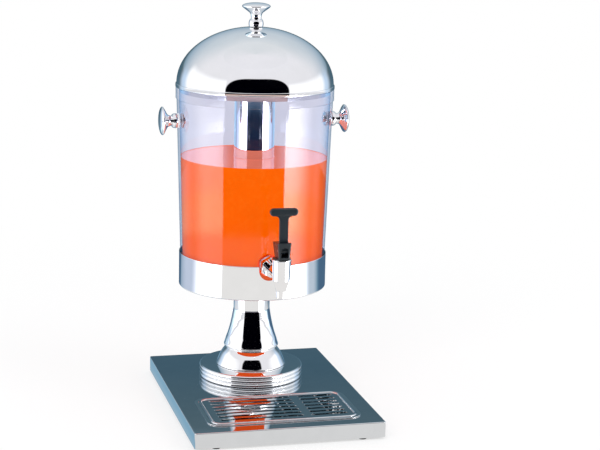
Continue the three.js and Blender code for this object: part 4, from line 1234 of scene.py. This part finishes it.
def make_hex_nut(look):
    low, high = box_of("tap_hex_nut")
    flats = high.x - low.x
    half_turn = math.pi / NUT_SIDES
    corners = flats / 2 / math.cos(half_turn)
    outline = []
    for side in range(NUT_SIDES):
        angle = half_turn + 2 * half_turn * side
        outline.append((AXIS.x + corners * math.cos(angle), SHANK_Z + corners * math.sin(angle)))
    nut = finish_mesh("tap_nut", prism_mesh(outline, low.y, high.y, "Y"), look["chrome"])
    reach = flats / 2 - OVERRUN / NUT_CHAMFER_SLOPE_SHARE
    past = high.y - low.y + OVERRUN
    chamfer = (corners - flats / 2) * NUT_CHAMFER_SLOPE_SHARE
    outline = [(0.0, -OVERRUN), (reach, -OVERRUN), (corners, chamfer), (corners, past), (0.0, past)]
    keep = turned_mesh("keep", outline, SMALL_ROUND)
    turn = Matrix.Rotation(-math.pi / 2, 4, "X")
    keep.transform(Matrix.Translation((AXIS.x, low.y, SHANK_Z)) @ turn)
    combine(nut, keep, "INTERSECT")
    start = (AXIS.x, low.y - OVERRUN, SHANK_Z)
    end = (AXIS.x, high.y + OVERRUN, SHANK_Z)
    cut(nut, rod_mesh(SHANK_HOLE, start, end))
    bevelled(nut, NUT_EDGE, 2, NUT_EDGE_ANGLE)
    settle(nut, "stand", "chrome", "tap_hex_nut")


SPRING_WIRE = 0.6 * MM
SPRING_TURNS = 5
TURN_STEPS = 36
WIRE_SIDES = 12


def make_spring(look):
    """The return spring as a round wound wire, built at rest and carried with the valve."""
    low, high = box_of("tap_spring")
    coil = (high.x - low.x) / 2 - SPRING_WIRE
    start = low.z + SPRING_WIRE
    rise = high.z - low.z - 2 * SPRING_WIRE
    build = bmesh.new()
    steps = TURN_STEPS * SPRING_TURNS
    slope = rise / (2 * math.pi * SPRING_TURNS * coil)
    rings = []
    for step in range(steps + 1):
        turn = 2 * math.pi * SPRING_TURNS * step / steps
        out = Vector((math.cos(turn), math.sin(turn), 0.0))
        along = Vector((-math.sin(turn), math.cos(turn), slope)).normalized()
        middle = Vector((TAP.x, TAP.y, start + rise * step / steps)) + coil * out
        across = along.cross(out)
        ring = []
        for side in range(WIRE_SIDES):
            angle = 2 * math.pi * side / WIRE_SIDES
            edge = math.cos(angle) * out + math.sin(angle) * across
            ring.append(build.verts.new(middle + SPRING_WIRE * edge))
        rings.append(ring)
    for near, far in zip(rings, rings[1:]):
        join_rings(build, near, far)
    build.faces.new(rings[0])
    build.faces.new(list(reversed(rings[-1])))
    spring = finish_mesh("return_spring", closed_mesh(build, "spring"), look["plain_steel"])
    settle(spring, "valve", "plain_steel", "tap_spring")
    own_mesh(spring)


BONNET_FLANGE_HEIGHT = 1.2 * MM
BONNET_PLUG = 6.4 * MM
BONNET_BACK_DROP = 4 * MM
BONNET_ROOF = 4 * MM
BONNET_GAP = 0.3 * MM
BONNET_EDGE = 0.7 * MM
BONNET_STEPS = 6
BONNET_FLARE_POWER = 1.15
FLANGE_EDGE = 0.3 * MM
FLANGE_EDGE_TOP = 0.6 * MM
PLUG_GAP = 0.3 * MM
PLUG_SHOULDER = 1.5 * MM
PLUG_TOP = 4 * MM
STEM_HOLE = 2.1 * MM
PIN_HOLE = 1.8 * MM
PIN_REACH_SHARE = 1.5
SLOT_CORNER = 0.8 * MM
ARCH_STEPS = 16
BONNET_LOW = {"width": 15 * MM, "front": 16 * MM, "back": 11 * MM}
BONNET_TOP = {"width": 18.6 * MM, "front": 18 * MM, "back": 16 * MM}
POCKET = {
    "low": 6.3 * MM, "top": 6.9 * MM, "low_front": 14.2 * MM, "top_front": 16 * MM, "back": 5.5 * MM,
    "floor": 3 * MM,
}
WINDOW = {"width": 9.6 * MM, "sill": 3.2 * MM, "height": 14 * MM}
LEVER_STEM = {"width": 12 * MM, "thickness": 5 * MM, "boss": 4.2 * MM, "fillet": 7 * MM}
LEVER_BAR = {"length": 38.5 * MM, "height": 10.5 * MM, "depth": 8.5 * MM}
LEVER_EDGE = 0.9 * MM
LEVER_STEPS = 10
BAR_EDGE_SHARE = 0.34
FORK_HALF = 4.6 * MM
FORK_THICK = 3.2 * MM
FORK_SLOT_HALF = 1.95 * MM
FORK_SLOT_GAP = 0.3 * MM
PLAY = 0.5 * MM


def loft_mesh(sections):
    """A solid through level sections with the same number of points."""
    build = bmesh.new()
    rings = [[build.verts.new(point) for point in section] for section in sections]
    for low, high in zip(rings, rings[1:]):
        join_rings(build, low, high)
    build.faces.new(list(reversed(rings[0])))
    build.faces.new(rings[-1])
    return closed_mesh(build, "loft")


def bonnet_section(half, front, back, height, back_height):
    """A rectangle with rounded corners; its back edge may lie at another height than its front edge."""
    corner = half / 4
    start, end = TAP.y - front, TAP.y + back
    points = []
    for x, y in rounded_rectangle(half, (end - start) / 2, corner, (start + end) / 2, 3):
        share = min(1.0, max(0.0, (y - start - corner) / (end - start - 2 * corner)))
        points.append((TAP.x + x, y, height + (back_height - height) * share))
    return points


def bonnet_sections(low, top):
    """Level sections of the bonnet, which widens upwards and whose top falls off to the back."""
    sections = []
    for step in range(BONNET_STEPS + 1):
        share = step / BONNET_STEPS
        flare = share ** BONNET_FLARE_POWER
        width, front, back = (
            BONNET_LOW[key] + (BONNET_TOP[key] - BONNET_LOW[key]) * flare
            for key in ("width", "front", "back"))
        height = low + (top - low) * share
        sections.append(bonnet_section(width / 2, front, back, height, height - BONNET_BACK_DROP * share))
    return sections


def bonnet_plug(flange, barrel_top, low):
    """The round flange on the barrel, and the plug in it that holds the spring."""
    plug_radius = CHAMBER_RADIUS - PLUG_GAP
    seat = barrel_top + BONNET_GAP
    outline = [(0.0, barrel_top - BONNET_PLUG), (plug_radius, barrel_top - BONNET_PLUG), (plug_radius, seat)]
    outline += [(flange - FLANGE_EDGE, seat), (flange, barrel_top + FLANGE_EDGE_TOP)]
    outline += [(flange, low - FLANGE_EDGE), (flange - FLANGE_EDGE, low)]
    outline += [(BONNET_LOW["width"] / 2, low + PLUG_SHOULDER), (0.0, low + PLUG_TOP)]
    plug = turned_mesh("plug", outline, FINE_ROUND)
    plug.transform(Matrix.Translation((TAP.x, TAP.y, 0.0)))
    return plug


def make_bonnet(look):
    barrel_top = box_of("tap_body")[1].z
    bonnet_low, bonnet_high = box_of("tap_bonnet")
    flange = (bonnet_high.x - bonnet_low.x) / 2
    low = barrel_top + BONNET_GAP + BONNET_FLANGE_HEIGHT
    top = bonnet_high.z
    bonnet = finish_mesh("bonnet", loft_mesh(bonnet_sections(low, top)), look["black_plastic"])
    bevelled(bonnet, BONNET_EDGE)
    join(bonnet, bonnet_plug(flange, barrel_top, low))
    pocket_low = low + POCKET["floor"]
    pocket_top = top - BONNET_ROOF
    hollow = loft_mesh([
        bonnet_section(POCKET["low"], POCKET["low_front"], POCKET["back"], pocket_low, pocket_low),
        bonnet_section(POCKET["top"], POCKET["top_front"], POCKET["back"], pocket_top, pocket_top)])
    cut(bonnet, hollow)
    pin = middle_of("lever_pin")
    slot_half = LEVER_STEM["width"] / 2 + PLAY
    slot_front = TAP.y - POCKET["top_front"]
    slot_back = pin.y + LEVER_STEM["thickness"] / 2 + PLAY
    middle = (slot_back + slot_front) / 2
    slot = rounded_rectangle(slot_half, (slot_back - slot_front) / 2, SLOT_CORNER, middle)
    cut(bonnet, prism_mesh(slot, top - BONNET_ROOF - OVERRUN, top + OVERRUN))
    start = (TAP.x, TAP.y, barrel_top - BONNET_PLUG - OVERRUN)
    cut(bonnet, rod_mesh(STEM_HOLE, start, (TAP.x, TAP.y, pocket_low + OVERRUN), THIN_ROUND))
    across = Vector((flange * PIN_REACH_SHARE, 0.0, 0.0))
    cut(bonnet, rod_mesh(PIN_HOLE, pin - across, pin + across, THIN_ROUND))
    half = WINDOW["width"] / 2
    sill = low + WINDOW["sill"]
    arch = [(TAP.x - half, sill), (TAP.x + half, sill)]
    arch += arc(TAP.x, sill + WINDOW["height"] - half, half, 0, 180, ARCH_STEPS)
    cut(bonnet, prism_mesh(arch, TAP.y - BONNET_TOP["front"] - OVERRUN, pin.y, "Y"))
    settle(bonnet, "stand", "black_plastic", "tap_bonnet")


def lever_face(pin, bar_low, middle):
    """The flat of the lever's stem from the pin up, which widens into the bar with a fillet on each side."""
    half = LEVER_STEM["width"] / 2
    fillet = LEVER_STEM["fillet"]
    right = []
    for step in range(LEVER_STEPS + 1):
        share = step / LEVER_STEPS
        x = half * (1 - share) ** 2 + 2 * half * share * (1 - share) + (half + fillet) * share ** 2
        z = (bar_low - fillet) * (1 - share) ** 2 + bar_low * (1 - (1 - share) ** 2)
        right.append((x, z))
    face = [(-half, pin.z), (half, pin.z)] + right + [(half + fillet, middle), (-half - fillet, middle)]
    face += [(-x, z) for x, z in reversed(right)]
    return [(pin.x + x, z) for x, z in face]


def stadium(half, radius, centre_x, centre_y, steps):
    """An outline with two round ends; half is the way from its centre to a tip."""
    points = []
    for side in (1, -1):
        for step in range(steps + 1):
            angle = math.pi * (step / steps - 1 / 2)
            x = side * (half - radius + radius * math.cos(angle))
            points.append((centre_x + x, centre_y + side * radius * math.sin(angle)))
    return points


def add_fork(lever, pin):
    """The forked arm from the pin back to the stem, with a slot for the stem and round tips."""
    left, right = pin.x - FORK_HALF, pin.x + FORK_HALF
    arm = [(right, pin.y), (right, TAP.y), (left, TAP.y), (left, pin.y)]
    join(lever, prism_mesh(arm, pin.z - FORK_THICK / 2, pin.z + FORK_THICK / 2))
    tip = Vector((pin.x, TAP.y, pin.z))
    wide = Vector((FORK_HALF, 0.0, 0.0))
    join(lever, rod_mesh(FORK_THICK / 2, tip - wide, tip + wide, THIN_ROUND))
    start, end = pin.y + LEVER_STEM["boss"] + FORK_SLOT_GAP, TAP.y + FORK_THICK
    left, right = pin.x - FORK_SLOT_HALF, pin.x + FORK_SLOT_HALF
    slot = [(right, start), (right, end), (left, end), (left, start)]
    cut(lever, prism_mesh(slot, pin.z - FORK_THICK, pin.z + FORK_THICK))


def make_lever(look):
    pin = middle_of("lever_pin")
    bar_low = box_of("tap_lever")[1].z - LEVER_BAR["height"]
    middle = bar_low + LEVER_BAR["height"] / 2
    thick = LEVER_STEM["thickness"] / 2
    stem = prism_mesh(lever_face(pin, bar_low, middle), pin.y - thick, pin.y + thick, "Y")
    lever = finish_mesh("lever_handle", stem, look["black_plastic"])
    bevelled(lever, LEVER_EDGE)
    grip = stadium(LEVER_BAR["length"] / 2, LEVER_BAR["height"] / 2, pin.x, middle, 24)
    depth = LEVER_BAR["depth"] / 2
    bar = finish_mesh("bar", prism_mesh(grip, pin.y - depth, pin.y + depth, "Y"), look["black_plastic"])
    bevelled(bar, LEVER_BAR["depth"] * BAR_EDGE_SHARE, 6)
    mesh = bar.data.copy()
    bpy.data.objects.remove(bar)
    join(lever, mesh)
    across = Vector((LEVER_STEM["width"] / 2, 0.0, 0.0))
    join(lever, rod_mesh(LEVER_STEM["boss"], pin - across, pin + across))
    add_fork(lever, pin)
    cut(lever, rod_mesh(PIN_HOLE, pin - 2 * across, pin + 2 * across, THIN_ROUND))
    settle(lever, "lever", "black_plastic", "tap_lever")


# Drip tray and grille

TRAY_FLANGE = 4 * MM
TRAY_LEDGE = 3.7 * MM
TRAY_SHEET = 0.8 * MM
GRILLE_BEAD = 4 * MM
GRILLE_BEAD_RISE = 1.3 * MM
GRILLE_ROWS = 7
SLOT_PITCH = 13.2 * MM
SLOT_SHIFT = 2.5 * MM
SLOT_WIDTH = 6.4 * MM
TRAY_EDGE_SHARE = 0.45
BEAD_STEPS = 10
SLOT_BANKS = ((-87 * MM, 28 * MM), (39 * MM, 89 * MM))


def make_tray(look):
    low, high = box_of("drip_tray")
    ledge = box_of("base_cover")[1].z
    flange = prism_mesh(tray_outline(0.0), high.z - TRAY_SHEET, high.z)
    tray = finish_mesh("tray_pan", flange, look["polished_steel"])
    bevelled(tray, TRAY_SHEET * TRAY_EDGE_SHARE)
    join(tray, prism_mesh(tray_outline(TRAY_FLANGE), ledge - TRAY_SHEET, high.z - TRAY_SHEET / 2))
    inset = TRAY_FLANGE + TRAY_LEDGE
    top = high.z + OVERRUN
    join(tray, prism_mesh(tray_outline(inset), low.z, ledge))
    cut(tray, prism_mesh(tray_outline(TRAY_FLANGE + TRAY_SHEET), ledge, top))
    cut(tray, prism_mesh(tray_outline(inset + TRAY_SHEET), low.z + TRAY_SHEET, top))
    settle(tray, "tray", "polished_steel", "drip_tray")


def make_grille(look):
    low, high = box_of("drip_grille")
    edge = TRAY_FLANGE + TRAY_SHEET + PLAY
    plate_top = high.z - GRILLE_BEAD_RISE
    centre_y = middle_of("drip_tray").y

    def ring_at(inset, height):
        return [(x, y, height) for x, y in tray_outline(edge + inset)]

    rings = [ring_at(0.0, low.z)]
    for step in range(BEAD_STEPS + 1):
        angle = math.pi * step / BEAD_STEPS
        inset = GRILLE_BEAD * (1 - math.cos(angle)) / 2
        rings.append(ring_at(inset, plate_top + GRILLE_BEAD_RISE * math.sin(angle)))
    grille = finish_mesh("slotted_grille", loft_mesh(rings), look["mirror_steel"])
    for row in range(GRILLE_ROWS):
        y = centre_y + SLOT_SHIFT + SLOT_PITCH * (row - (GRILLE_ROWS - 1) / 2)
        for start, end in SLOT_BANKS:
            slot = stadium((end - start) / 2, SLOT_WIDTH / 2, (start + end) / 2, y, 12)
            cut(grille, prism_mesh(slot, low.z - OVERRUN, high.z + OVERRUN))
    settle(grille, "grille", "mirror_steel", "drip_grille")


# Carried-over CAD nodes get the studio's materials by their slots

def dress_cad(look):
    slots = {part["node"]: part["material_slot"] for part in frame["record"]["subparts"]}
    for name, piece in nodes.items():
        slot = slots.get(name)
        if slot is None and piece.material_slots:
            slot = piece.material_slots[0].name.split(".")[0]
        if slot in look:
            for entry in piece.material_slots:
                entry.material = look[slot]


make_camera()
make_world()
make_wall()
make_drink_reflection_card()
make_floor()
make_lamps()
bpy.context.scene.view_settings.view_transform = "Standard"
look = make_materials()
dress_cad(look)
make_base(look)
make_ring(look)
make_column(look)
make_collar(look)
make_tank(look)
make_juice(look)
make_ice_tube(look)
make_lid(look)
make_knobs(look)
make_tap_body(look)
make_hex_nut(look)
make_spring(look)
make_bonnet(look)
make_lever(look)
make_tray(look)
make_grille(look)
